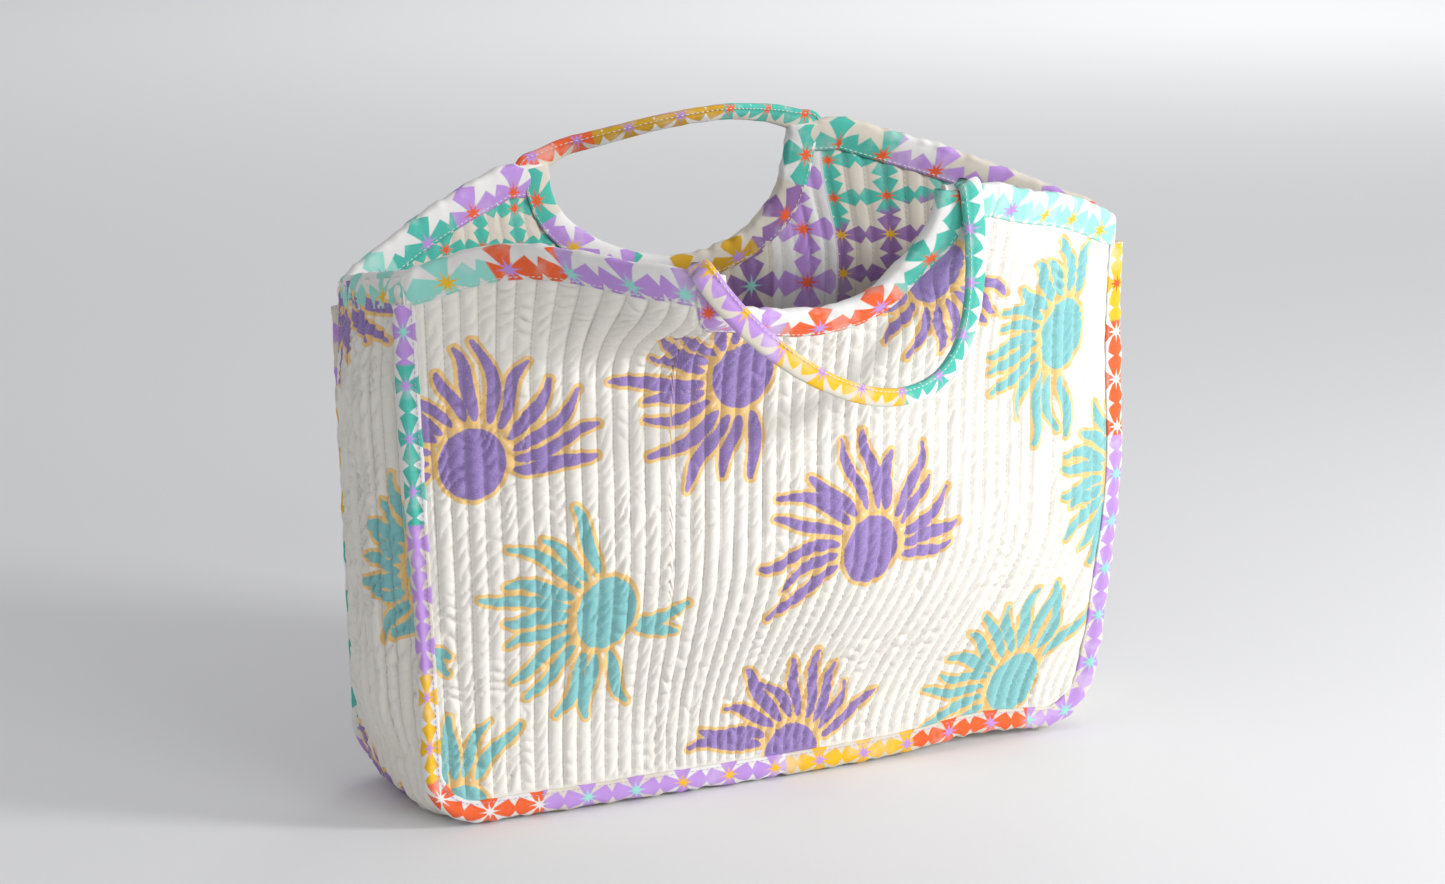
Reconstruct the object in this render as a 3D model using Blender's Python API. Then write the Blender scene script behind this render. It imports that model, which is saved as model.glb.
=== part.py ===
"""A quilted cotton knitting bag: a tote of two eared panels and a gusset, each an outer cloth, a wadding and a
lining, with taped edges and two strap handles. Metres, +Z up, +X along the bag's width, the front faces -Y."""

import bmesh
import bpy
import numpy as np

# Driving dimensions of the cut panels, measured from the bottom seam line and the middle of the panel.
HALF_WIDTH = 0.205
HALF_DEPTH = 0.053
SEAM_HEIGHT = 0.011
CORNER_RADIUS = 0.024
SIDE_HEIGHT = 0.295
EAR_HEIGHT = 0.346
EAR_OUTER = 0.104
EAR_INNER = 0.078
SCOOP_HEIGHT = 0.267

# Cloth layers, from the outer face inwards, as (start, end) depths.
OUTER = (0.0, 0.0008)
WADDING = (0.0011, 0.0029)
LINING = (0.0032, 0.0040)
LAYERS = {"outer": OUTER, "wadding": WADDING, "lining": LINING}
SANDWICH = LINING[1]
SEAM_INSET = SANDWICH + 0.0005

# Tapes and straps.
TAPE = 0.0008
TAPE_CLEARANCE = 0.0006
CORNER_SLACK = 0.0013
CORNER_LIFT = 0.0030
MOUTH_TAPE_WIDTH = 0.016
SEAM_TAPE_WIDTH = 0.011
SEAM_TAPE_HALF_THICKNESS = 0.0026
SEAM_TAPE_PROUD = 0.0008
STRAP_WIDTH = 0.0132
STRAP_THICKNESS = 0.0046
STRAP_WALL = 0.0009
STRAP_FORWARD = 0.0046
FRONT_STRAP_ABOVE = 0.0046
BACK_STRAP_ABOVE = 0.0064
STRAP_ROOT = 0.088

# How the stuffed bag has settled.
FRONT_BULGE = 0.036
BACK_BULGE = 0.022
MOUTH_FLARE = 0.010
LEFT_EAR_FORWARD = 0.060
LEFT_EAR_DROP = 0.046
RIGHT_EAR_FORWARD = 0.024
RIGHT_EAR_DROP = 0.018
RIGHT_EAR_SLUMP = 0.016
FRONT_SCOOP_DROP = 0.004
BOTTOM_BOW = 0.005
SIDE_SWELL = 0.009
BASE_SWELL = 0.0120
PINCH_FORWARD = 0.048
PINCH_RIGHT = 0.030
BACK_LEFT_FORWARD = 0.010
RIGHT_SIDE_SWELL = 0.008
WIDENING = 0.05
BACK_HANDLE_RISE = 0.034
BACK_HANDLE_LEAN = np.radians(72)
FRONT_STRAP_TUCK = 0.10
FRONT_STRAP_BENDS = ((0.045, 0.082), (0.007, 0.178))

CREAM = (0.86, 0.84, 0.78)
COTTON = (0.82, 0.80, 0.74)
LILAC = (0.56, 0.38, 0.72)
TEAL = (0.18, 0.62, 0.50)
YELLOW = (0.86, 0.56, 0.05)
ORANGE = (0.86, 0.20, 0.04)
PANEL_COLOURS = {"outer": CREAM, "wadding": COTTON, "lining": LILAC}
FRONT_SEAM_COLOURS = {"left": TEAL, "bottom": LILAC, "right": LILAC}
BACK_SEAM_COLOURS = {"left": TEAL, "bottom": LILAC, "right": ORANGE}

SLANT_STEPS = 4
SCOOP_STEPS = 8
ROW_FRACTIONS = (0.0, 0.2, 0.4, 0.6, 0.8, 1.0)
GUSSET_COLUMNS = 4
SCOOP_START = SLANT_STEPS + 1
SCOOP_END = SCOOP_START + SCOOP_STEPS
SIDE_STEPS = 8
TURN_STEPS = 3
BOTTOM_STEPS = 8
STRAP_STEPS = 18
TAPE_INNER_SIDES = (4, 6)
SEAM_TAPE_JOINT = 11


def ease(value):
    """Smooth step from 0 to 1."""
    value = np.clip(value, 0.0, 1.0)
    return value * value * (3.0 - 2.0 * value)


def hump(value, middle, spread):
    return np.exp(-(((value - middle) / spread) ** 2))


def top_height(across):
    """Height of the panel's cut top edge: a slanted shoulder, a flat ear and a round scoop."""
    reach = np.abs(across)
    slant = (HALF_WIDTH - reach) / (HALF_WIDTH - EAR_OUTER)
    shoulder = SIDE_HEIGHT + (EAR_HEIGHT - SIDE_HEIGHT) * np.minimum(slant, 1.0)
    round_part = np.sqrt(np.clip(1.0 - (reach / EAR_INNER) ** 2, 0.0, 1.0))
    scoop = EAR_HEIGHT - (EAR_HEIGHT - SCOOP_HEIGHT) * round_part
    return np.where(reach < EAR_INNER, scoop, shoulder)


def front_surface(across, height):
    """Outer face of the front panel: it bellies forward, and its ears lean out over the belly."""
    edge = across / HALF_WIDTH
    belly = (1.0 - edge**2) * ease(height / 0.14)
    lean = ease((height - 0.235) / 0.107)
    left_ear = lean * hump(across, -0.085, 0.060)
    right_ear = lean * hump(across, 0.100, 0.060)
    slump = ease((height - 0.24) / 0.06) * hump(across, 0.070, 0.035)
    low = 1.0 - ease(height / 0.06)
    swell = RIGHT_SIDE_SWELL * np.clip(edge, 0.0, 1.0) ** 2 * hump(height, 0.14, 0.07)
    x = across * (1.0 + WIDENING * height / SIDE_HEIGHT) + swell - 0.006 * low * ease((across - 0.15) / 0.05)
    y = -HALF_DEPTH - FRONT_BULGE * belly - MOUTH_FLARE * (1.0 - edge**2) * ease((height - 0.19) / 0.09)
    y = y - LEFT_EAR_FORWARD * left_ear - RIGHT_EAR_FORWARD * right_ear - BOTTOM_BOW * low * (1.0 - edge**2)
    z = SEAM_HEIGHT + height - LEFT_EAR_DROP * left_ear - RIGHT_EAR_DROP * right_ear
    z = z + 0.005 * low * hump(across, 0.13, 0.04) - FRONT_SCOOP_DROP * hump(across, 0.02, 0.05) * lean
    return np.stack(np.broadcast_arrays(x - RIGHT_EAR_SLUMP * slump, y, z), axis=-1)


def back_surface(across, height):
    """Outer face of the back panel: it bellies back, and its right shoulder swings in towards the front."""
    edge = across / HALF_WIDTH
    belly = (1.0 - edge**2) * ease(height / 0.16)
    pinch = ease((height - 0.10) / 0.18) * np.clip((across - 0.03) / 0.175, 0.0, 1.0) ** 2
    settle = 0.038 * across - 0.25 * across**2 - 0.006 * hump(across, -0.09, 0.04)
    settle = settle * ease((height - 0.15) / 0.13)
    x = across * (1.0 + 0.4 * WIDENING * height / SIDE_HEIGHT) + PINCH_RIGHT * pinch
    y = HALF_DEPTH + BACK_BULGE * belly - PINCH_FORWARD * pinch
    y = y - BACK_LEFT_FORWARD * np.clip(-edge, 0.0, 1.0) ** 2
    return np.stack(np.broadcast_arrays(x, y, SEAM_HEIGHT + height + settle), axis=-1)


def seam_path():
    """Flat points and outward directions round a panel's left side, bottom and right side, top to top."""
    side = np.linspace(SIDE_HEIGHT, CORNER_RADIUS, SIDE_STEPS + 1)
    turn = np.radians(np.linspace(0.0, 90.0, TURN_STEPS + 1))
    run = np.linspace(-HALF_WIDTH + CORNER_RADIUS, HALF_WIDTH - CORNER_RADIUS, BOTTOM_STEPS + 1)
    places = [(-HALF_WIDTH, height) for height in side]
    outward = [(-1.0, 0.0)] * len(side)
    middle = HALF_WIDTH - CORNER_RADIUS
    for angle in turn[1:]:
        outward.append((-np.cos(angle), -np.sin(angle)))
        places.append((-middle, CORNER_RADIUS))
    for across in run[1:]:
        outward.append((0.0, -1.0))
        places.append((across, CORNER_RADIUS))
    for angle in turn[::-1][1:]:
        outward.append((np.cos(angle), -np.sin(angle)))
        places.append((middle, CORNER_RADIUS))
    for height in side[::-1][1:]:
        outward.append((1.0, 0.0))
        places.append((HALF_WIDTH, height))
    places = np.array(places)
    outward = np.array(outward)
    bottom = np.arange(len(side), len(places) - len(side) + 1)
    places[bottom] += CORNER_RADIUS * outward[bottom]
    return places, outward


def gusset_surface(front_edge, back_edge, outward, height, depth):
    """Outer face of the gusset strip across one line of its length; depth runs 0 to 1 from front to back."""
    right = outward[0] > 0.5
    side = abs(outward[0]) * ease(height / 0.10)
    swell = BASE_SWELL * max(-outward[1], 0.0) + (0.004 if right else SIDE_SWELL) * side
    swell = swell - 0.009 * right * ease((height - 0.12) / 0.16)
    flatness = 4.0 if outward[1] < -0.5 else 2.0
    chord = front_edge * (1.0 - depth) + back_edge * depth
    bow = swell * (1.0 - np.abs(2.0 * depth - 1.0) ** flatness)
    point = chord + bow * np.array([outward[0], 0.0, outward[1]])
    point[2] = max(point[2], 0.0)
    return point


def gusset_line(across, height, direction, depths):
    """One line of the gusset's outer face from the front panel's inner face to the back panel's."""
    slanted = direction[0] * ease((height - 0.05) / 0.18) if direction[0] > 0.5 else 0.0
    front = front_surface(across, height) + np.array([0.0, SEAM_INSET + 0.001 * slanted, 0.0])
    back = back_surface(across, height) - np.array([0.0, SEAM_INSET + 0.0045 * slanted, 0.0])
    return [gusset_surface(front, back, direction, height, depth) for depth in depths]


def gusset_grid():
    """Outer face of the gusset strip, as rows of points from the top left round to the top right."""
    places, outward = seam_path()
    depths = np.linspace(0.0, 1.0, GUSSET_COLUMNS + 1)
    return np.array([gusset_line(*place, direction, depths) for place, direction in zip(places, outward)])


def grid_normals(grid, towards):
    """Unit normals of a grid of points, all on the side that the vectors in towards point to."""
    along = np.gradient(grid, axis=0)
    across = np.gradient(grid, axis=1)
    normals = np.cross(along, across)
    normals /= np.linalg.norm(normals, axis=-1, keepdims=True)
    side = np.sign(np.sum(normals * towards, axis=-1, keepdims=True))
    return normals * side


def surface_normal(surface, across, height, towards):
    step = 0.0005
    along = surface(across + step, height) - surface(across - step, height)
    upward = surface(across, height + step) - surface(across, height - step)
    normal = np.cross(along, upward)
    normal /= np.linalg.norm(normal, axis=-1, keepdims=True)
    return normal * np.sign(normal[..., 1:2]) * towards


def top_edge_points():
    """Flat points of a panel's cut top edge from the left corner to the right, and the directions into the cloth."""
    angles = np.radians(np.linspace(-90.0, 90.0, SCOOP_STEPS + 1))
    scoop = EAR_INNER * np.sin(angles)
    shoulder = np.linspace(-HALF_WIDTH, -EAR_OUTER, SLANT_STEPS + 1)
    across = np.concatenate([shoulder, scoop, -shoulder[::-1]])
    height = top_height(across)
    height[[0, -1]] = SIDE_HEIGHT
    points = np.stack([across, height], axis=1)
    directions = mitred_directions(points)
    directions[[0, -1]] = (0.0, -1.0)
    return points, directions


def mitred_directions(points):
    """Directions from each flat point of an edge into the cloth below it, lengthened at the corners."""
    steps = np.diff(points, axis=0)
    steps /= np.linalg.norm(steps, axis=1, keepdims=True)
    inward = np.stack([steps[:, 1], -steps[:, 0]], axis=1)
    first = np.vstack([inward[:1], inward])
    second = np.vstack([inward, inward[-1:]])
    total = first + second
    return 2.0 * total / np.sum(total * total, axis=1, keepdims=True)


def panel_grid():
    """Flat places of a panel's columns and rows: the columns run from the seam path up to the top edge."""
    heads, directions = top_edge_points()
    under_tape = heads + directions * MOUTH_TAPE_WIDTH
    places, outward = seam_path()
    bottom = places[(np.abs(outward[:, 0]) < 1.0) | (places[:, 1] <= CORNER_RADIUS + 1e-6)]
    travel = np.concatenate([[0.0], np.cumsum(np.linalg.norm(np.diff(bottom, axis=0), axis=1))])
    inner = np.linspace(travel[TURN_STEPS], travel[-1 - TURN_STEPS], len(heads) - 2 * TURN_STEPS)
    wanted = np.concatenate([travel[:TURN_STEPS], inner, travel[-TURN_STEPS:]])
    feet = np.stack([np.interp(wanted, travel, bottom[:, axis]) for axis in (0, 1)], axis=-1)
    fractions = np.array(ROW_FRACTIONS)[None, :, None]
    body = feet[:, None, :] * (1.0 - fractions) + under_tape[:, None, :] * fractions
    return np.concatenate([body, heads[:, None, :]], axis=1)


def new_object(name, mesh_data, colour, roughness, metallic=0.0):
    """Adds a mesh object of one closed body, faces outwards, with its own cloth material."""
    mesh = bpy.data.meshes.new(name)
    mesh_data.to_mesh(mesh)
    mesh_data.free()
    mesh.shade_smooth()
    mesh.set_sharp_from_angle(angle=np.radians(50))
    thing = bpy.data.objects.new(name, mesh)
    bpy.context.scene.collection.objects.link(thing)
    material = bpy.data.materials.new(name)
    material.use_nodes = True
    shader = material.node_tree.nodes["Principled BSDF"]
    shader.inputs["Base Color"].default_value = (*colour, 1.0)
    shader.inputs["Roughness"].default_value = roughness
    shader.inputs["Metallic"].default_value = metallic
    mesh.materials.append(material)
    return thing


def add_quad(data, corners, fanned=False):
    """Adds one face, or four round a middle point where a twisted face has to match its neighbour's."""
    if not fanned:
        data.faces.new(corners)
        return
    middle = data.verts.new(sum((corner.co for corner in corners), corners[0].co * 0.0) / 4)
    for here, there in zip(corners, corners[1:] + corners[:1]):
        data.faces.new((here, there, middle))


def slab(name, face, inner, colour, fan_last=False, roughness=0.9):
    """A closed sheet between two grids of points."""
    data = bmesh.new()
    rows, columns = face.shape[:2]
    sides = [[[data.verts.new(point) for point in row] for row in grid] for grid in (face, inner)]
    for side in sides:
        for row in range(rows - 1):
            for column in range(columns - 1):
                near = side[row][column : column + 2]
                far = side[row + 1][column : column + 2]
                add_quad(data, [near[0], far[0], far[1], near[1]], fan_last and column == columns - 2)
    rim = [(row, 0) for row in range(rows)]
    rim += [(rows - 1, column) for column in range(1, columns)]
    rim += [(row, columns - 1) for row in range(rows - 2, -1, -1)]
    rim += [(0, column) for column in range(columns - 2, 0, -1)]
    top, under = sides
    for (row, column), (next_row, next_column) in zip(rim, rim[1:] + rim[:1]):
        upper = [top[row][column], top[next_row][next_column]]
        add_quad(data, [*upper, under[next_row][next_column], under[row][column]])
    bmesh.ops.recalc_face_normals(data, faces=data.faces)
    return new_object(name, data, colour, roughness)


def sleeve(name, rings, colour, hole=None, fanned=(), roughness=0.85):
    """A closed body through a list of section rings; hole is a second list that hollows it from end to end."""
    data = bmesh.new()
    walls = []
    for wall in (rings, hole):
        if wall is None:
            continue
        loops = [[data.verts.new(point) for point in ring] for ring in wall]
        for first, second in zip(loops, loops[1:]):
            for here in range(len(first)):
                there = (here + 1) % len(first)
                add_quad(data, [first[here], first[there], second[there], second[here]], here in fanned)
        walls.append(loops)
    for end in (0, -1):
        if hole is None:
            data.faces.new(walls[0][end])
            continue
        outside, inside = walls[0][end], walls[1][end]
        for here in range(len(outside)):
            there = (here + 1) % len(outside)
            add_quad(data, [outside[here], outside[there], inside[there], inside[here]])
    bmesh.ops.recalc_face_normals(data, faces=data.faces)
    return new_object(name, data, colour, roughness)


def make_panel(side, surface, towards, colours):
    """The outer cloth, wadding and lining of one eared panel."""
    flat = panel_grid()
    face = surface(flat[..., 0], flat[..., 1])
    normals = surface_normal(surface, flat[..., 0], flat[..., 1], towards)
    for layer, (start, end) in LAYERS.items():
        slab(f"{side}_panel_{layer}", face - start * normals, face - end * normals, colours[layer], fan_last=True)


def make_gusset(colours):
    face = gusset_grid()
    middle = np.array([0.0, 0.0, 0.16])
    normals = grid_normals(face, face * np.array([1.0, 0.0, 1.0]) - middle)
    for layer, (start, end) in LAYERS.items():
        slab(f"gusset_{layer}", face - start * normals, face - end * normals, colours[layer])


def seam_tape_ring(base, out, normal, reach):
    """Section of the padded tape over a side or bottom seam, standing out from the seam line."""
    half = SEAM_TAPE_HALF_THICKNESS
    points = ((0.0, 0.7), (0.4, 1.0), (0.85, 0.8), (1.0, 0.0), (0.85, -0.8), (0.4, -1.0), (0.0, -0.7))
    return [base + out * reach * along + normal * half * lift for along, lift in points]


def seam_tape_rings(surface, towards):
    """Sections of the tape from the mouth tape at the left, round the bottom, to the mouth tape at the right."""
    places, outward = seam_path()
    top = SIDE_HEIGHT - MOUTH_TAPE_WIDTH - 0.0025
    inside = np.flatnonzero(places[:, 1] < top)
    places = places[inside[0] - 1 : inside[-1] + 2]
    outward = outward[inside[0] - 1 : inside[-1] + 2]
    places[[0, -1], 1] = top
    rings = []
    for (across, height), direction in zip(places, outward):
        edge = surface(across, height)
        normal = surface_normal(surface, across, height, towards)
        inner = surface(*(np.array([across, height]) - direction * 0.003))
        out = (edge - inner) / np.linalg.norm(edge - inner)
        base = edge - normal * (SANDWICH / 2 - SEAM_TAPE_PROUD) + out * 0.0010
        reach = SEAM_TAPE_WIDTH - 0.0010
        if out[2] < -0.1:
            reach = min(reach, base[2] / -out[2])
        rings.append(seam_tape_ring(base, out, normal, reach))
    return np.array(rings)


def make_seam_tapes(side, surface, towards, colours):
    """Three strips of tape, meeting end to end near the bottom corners."""
    rings = seam_tape_rings(surface, towards)
    joint = SEAM_TAPE_JOINT
    last = len(rings) - 1
    spans = {"left": (0, joint), "bottom": (joint, last - joint), "right": (last - joint, last)}
    for name, (begin, end) in spans.items():
        strip = rings[begin : end + 1].copy()
        for tip, beside in ((0, 1), (-1, -2)):
            step = strip[beside] - strip[tip]
            strip[tip] += 0.00025 * step / np.linalg.norm(step, axis=-1, keepdims=True)
        sleeve(f"{side}_seam_tape_{name}", strip, colours[name])


def folded_tape_ring(edge, deep, edge_normal, deep_normal, slack=0.0, lift=0.0):
    """U-shaped section of a tape folded over a cut edge: one leg outside the cloth, the fold, and one leg inside."""
    edge = edge + np.array([0.0, 0.0, lift])
    up = (edge - deep) / np.linalg.norm(edge - deep)
    near = TAPE_CLEARANCE + slack
    far = near + TAPE
    legs = ((far, 1), (near, 1), (-SANDWICH - near, 1), (-SANDWICH - far, 1))
    outside, outside_near, inside_near, inside = [deep + deep_normal * offset for offset, _ in legs]
    fold = [edge + edge_normal * far + up * far, edge + edge_normal * (-SANDWICH - far) + up * far]
    crease = [edge + edge_normal * (-SANDWICH - near) + up * near, edge + edge_normal * near + up * near]
    return [outside, fold[0], fold[1], inside, inside_near, crease[0], crease[1], outside_near]


def edge_rings(surface, towards, points, directions):
    rings = []
    for (across, height), (right, up) in zip(points, directions):
        deep = (across + right * MOUTH_TAPE_WIDTH, height + up * MOUTH_TAPE_WIDTH)
        rings.append(
            folded_tape_ring(
                surface(across, height),
                surface(*deep),
                surface_normal(surface, across, height, towards),
                surface_normal(surface, *deep, towards),
            )
        )
    return rings


def nudge(rings, distance=0.00025):
    """Pulls both ends of a strip back, so that the next strip has room."""
    rings = np.array(rings)
    for tip, beside in ((0, 1), (-1, -2)):
        step = np.mean(rings[beside] - rings[tip], axis=0)
        rings[tip] += distance * step / np.linalg.norm(step)
    return rings


def make_scoop_tape(side, surface, towards, colour):
    points, directions = top_edge_points()
    scoop = slice(SCOOP_START, SCOOP_END + 1)
    rings = edge_rings(surface, towards, points[scoop], directions[scoop])
    sleeve(f"{side}_scoop_tape", nudge(rings), colour, fanned=TAPE_INNER_SIDES)


def gusset_mouth_rings(right):
    """Sections of the mouth tape along the gusset's top, with the corner sections where it meets each panel."""
    across = HALF_WIDTH if right else -HALF_WIDTH
    direction = (1.0 if right else -1.0, 0.0)
    depths = np.array([0.06, 0.25, 0.5, 0.75, 0.94])
    heights = (SIDE_HEIGHT, SIDE_HEIGHT - MOUTH_TAPE_WIDTH)
    lines = np.array([gusset_line(across, height, direction, depths) for height in heights])
    normals = grid_normals(lines, np.array([direction[0], 0.0, 0.0]))
    slacks = (CORNER_SLACK / 2, 0.0005, 0.0005, 0.0005, CORNER_SLACK)
    rings = [
        folded_tape_ring(*lines[:, index], *normals[:, index], slack) for index, slack in enumerate(slacks)
    ]
    corners = []
    for surface, towards, index in ((front_surface, -1.0, 0), (back_surface, 1.0, -1)):
        edge = surface(across, SIDE_HEIGHT)
        deep = surface(across, SIDE_HEIGHT - MOUTH_TAPE_WIDTH)
        own = surface_normal(surface, across, SIDE_HEIGHT, towards)
        beside = normals[0, index]
        mitre = (own + beside) / (1.0 + own @ beside)
        corners.append(folded_tape_ring(edge, deep, mitre, mitre, CORNER_SLACK, CORNER_LIFT))
    return [corners[0], *rings, corners[1]]


def make_mouth_tape(right, colour):
    """One tape from the front ear, down its shoulder, over the gusset and up the back shoulder to the back ear."""
    points, directions = top_edge_points()
    part = slice(SCOOP_END, len(points) - 1) if right else slice(1, SCOOP_START + 1)
    order = 1 if right else -1
    front = edge_rings(front_surface, -1.0, points[part], directions[part])[::order]
    back = edge_rings(back_surface, 1.0, points[part], directions[part])[::-order]
    name = "right_mouth_tape" if right else "left_mouth_tape"
    sleeve(name, nudge([*front, *gusset_mouth_rings(right), *back]), colour, fanned=TAPE_INNER_SIDES)


def strap_root(surface, towards, across, above):
    """Where a handle's centre line starts, beside an ear's outer face, and the normal of that face."""
    peak = surface(across, EAR_HEIGHT)
    below = surface(across, EAR_HEIGHT - 0.01)
    up = (peak - below) / np.linalg.norm(peak - below)
    normal = surface_normal(surface, across, EAR_HEIGHT, towards)
    return peak + normal * STRAP_FORWARD + up * above, normal


def front_strap():
    """Centre line, face normals and roots of the front handle, which hangs down over the front's belly."""
    left, left_normal = strap_root(front_surface, -1.0, -STRAP_ROOT, FRONT_STRAP_ABOVE)
    right, right_normal = strap_root(front_surface, -1.0, STRAP_ROOT, FRONT_STRAP_ABOVE)
    span = np.linalg.norm(right - left)
    chord = (right - left) / span
    down = np.array([0.0, FRONT_STRAP_TUCK, -1.0])
    down -= chord * (down @ chord)
    down /= np.linalg.norm(down)
    first, second = [chord * along + down * drop for along, drop in FRONT_STRAP_BENDS]
    first = left + first - left_normal * (first @ left_normal)
    second = right + second - right_normal * (second @ right_normal)
    share = np.linspace(0.0, 1.0, STRAP_STEPS + 1)[:, None]
    rest = 1.0 - share
    path = rest**3 * left + 3 * rest**2 * share * first + 3 * rest * share**2 * second + share**3 * right
    own = np.cross(down, chord)
    faces = left_normal * ease(1.0 - share * 4) + right_normal * ease(share * 4 - 3.0)
    faces = faces + own * (1.0 - ease(1.0 - share * 4) - ease(share * 4 - 3.0))
    return path, faces, (left, right)


def back_strap():
    """Centre line, face normals and roots of the back handle, a flat arch that leans over the mouth."""
    left, _ = strap_root(back_surface, 1.0, -STRAP_ROOT, BACK_STRAP_ABOVE)
    right, _ = strap_root(back_surface, 1.0, STRAP_ROOT, BACK_STRAP_ABOVE)
    chord = (right - left) / np.linalg.norm(right - left)
    rise = np.array([0.0, -np.sin(BACK_HANDLE_LEAN), np.cos(BACK_HANDLE_LEAN)])
    rise -= chord * (rise @ chord)
    rise /= np.linalg.norm(rise)
    share = np.linspace(0.0, 1.0, STRAP_STEPS + 1)[:, None]
    share = 0.5 - 0.5 * np.cos(np.pi * share)
    height = BACK_HANDLE_RISE * (1.0 - np.abs(2.0 * share - 1.0) ** 2.4)
    path = left + (right - left) * share + rise * height
    return path, np.cross(chord, rise) + 0.0 * path, (left, right)


def strap_rings(path, faces, width, thickness):
    """Six-sided sections along a flat strap whose broad faces look along the given normals."""
    tangents = np.gradient(path, axis=0)
    tangents /= np.linalg.norm(tangents, axis=1, keepdims=True)
    sideways = np.cross(tangents, faces)
    sideways /= np.linalg.norm(sideways, axis=1, keepdims=True)
    normals = np.cross(sideways, tangents)
    shape = ((-0.5, 0.0), (-0.42, 0.5), (0.42, 0.5), (0.5, 0.0), (0.42, -0.5), (-0.42, -0.5))
    rings = [path + sideways * width * across + normals * thickness * lift for across, lift in shape]
    return np.stack(rings, axis=1)


def make_handle(side, strap, cover_colour, core_colour):
    """A folded cloth cover, open at both ends, round a cotton core, on an empty at the hinge line."""
    path, faces, (left, right) = strap
    pivot = (left + right) / 2
    axis = bpy.data.objects.new(f"{side}_handle_axis", None)
    axis.location = pivot
    bpy.context.scene.collection.objects.link(axis)
    path = path - pivot
    outside = strap_rings(path, faces, STRAP_WIDTH, STRAP_THICKNESS)
    inside = strap_rings(path, faces, STRAP_WIDTH - 2.4 * STRAP_WALL, STRAP_THICKNESS - 2 * STRAP_WALL)
    trim = 2.4 * STRAP_WALL + 0.0008
    core = strap_rings(path, faces, STRAP_WIDTH - trim, STRAP_THICKNESS - 2 * STRAP_WALL - 0.0006)
    for thing in (
        sleeve(f"{side}_handle_cover", outside, cover_colour, hole=inside),
        sleeve(f"{side}_handle_core", core, core_colour),
    ):
        thing.parent = axis


def main():
    for old in list(bpy.data.objects):
        bpy.data.objects.remove(old)
    make_panel("front", front_surface, -1.0, PANEL_COLOURS)
    make_panel("back", back_surface, 1.0, PANEL_COLOURS)
    make_gusset(PANEL_COLOURS)
    make_seam_tapes("front", front_surface, -1.0, FRONT_SEAM_COLOURS)
    make_seam_tapes("back", back_surface, 1.0, BACK_SEAM_COLOURS)
    make_mouth_tape(False, TEAL)
    make_mouth_tape(True, TEAL)
    make_scoop_tape("front", front_surface, -1.0, ORANGE)
    make_scoop_tape("back", back_surface, 1.0, YELLOW)
    make_handle("front", front_strap(), LILAC, COTTON)
    make_handle("back", back_strap(), YELLOW, COTTON)


main()
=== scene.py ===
"""Looks of the knitting bag: quilted panels, a printed lining, star-printed tapes and two strap handles."""

import bpy
import numpy as np
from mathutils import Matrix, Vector


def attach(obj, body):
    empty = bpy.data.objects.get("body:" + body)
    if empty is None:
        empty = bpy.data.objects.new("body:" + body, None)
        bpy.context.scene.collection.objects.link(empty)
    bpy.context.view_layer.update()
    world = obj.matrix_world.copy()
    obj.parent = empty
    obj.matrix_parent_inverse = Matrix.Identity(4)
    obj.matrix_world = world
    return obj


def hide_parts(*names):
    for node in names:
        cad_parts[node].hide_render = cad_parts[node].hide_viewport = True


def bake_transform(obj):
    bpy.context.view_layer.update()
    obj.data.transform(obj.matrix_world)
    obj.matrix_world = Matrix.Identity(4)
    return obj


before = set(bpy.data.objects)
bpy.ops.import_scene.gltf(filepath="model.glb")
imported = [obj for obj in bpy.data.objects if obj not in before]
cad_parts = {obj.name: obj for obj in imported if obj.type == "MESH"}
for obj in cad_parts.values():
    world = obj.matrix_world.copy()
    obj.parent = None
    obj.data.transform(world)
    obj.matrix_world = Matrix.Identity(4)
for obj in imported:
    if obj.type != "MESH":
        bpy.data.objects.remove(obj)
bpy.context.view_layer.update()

# The cut panels and their cloth, as in the CAD, in metres from the bottom seam line and the panel's middle.
HALF_WIDTH = 0.205
HALF_DEPTH = 0.053
SEAM_HEIGHT = 0.011
CORNER_RADIUS = 0.024
SIDE_HEIGHT = 0.295
EAR_HEIGHT = 0.346
EAR_OUTER = 0.104
EAR_INNER = 0.078
SCOOP_HEIGHT = 0.267
SANDWICH = 0.0040
GUSSET_DEPTH = 2 * HALF_DEPTH

# How the stuffed bag has settled, as in the CAD.
FRONT_BULGE = 0.036
BACK_BULGE = 0.022
MOUTH_FLARE = 0.010
LEFT_EAR_FORWARD = 0.060
LEFT_EAR_DROP = 0.046
RIGHT_EAR_FORWARD = 0.024
RIGHT_EAR_DROP = 0.018
RIGHT_EAR_SLUMP = 0.016
FRONT_SCOOP_DROP = 0.004
BOTTOM_BOW = 0.005
BASE_SWELL = 0.0120
PINCH_FORWARD = 0.048
PINCH_RIGHT = 0.030
BACK_LEFT_FORWARD = 0.010
RIGHT_SIDE_SWELL = 0.008
WIDENING = 0.05

# The soft back and left side, pushed further out and down than in the CAD, and the gap left in each seam,
# narrower than in the CAD.
SIDE_SWELL = 0.016
SEAM_INSET = 0.0012
BACK_LEFT_SHIFT = 0.009
BACK_LEFT_EAR_SLUMP = 0.009
BACK_RIGHT_EAR_SLUMP = 0.014
BACK_LEFT_EAR_DROP = 0.007
BACK_RIGHT_EAR_DROP = 0.004

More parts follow.
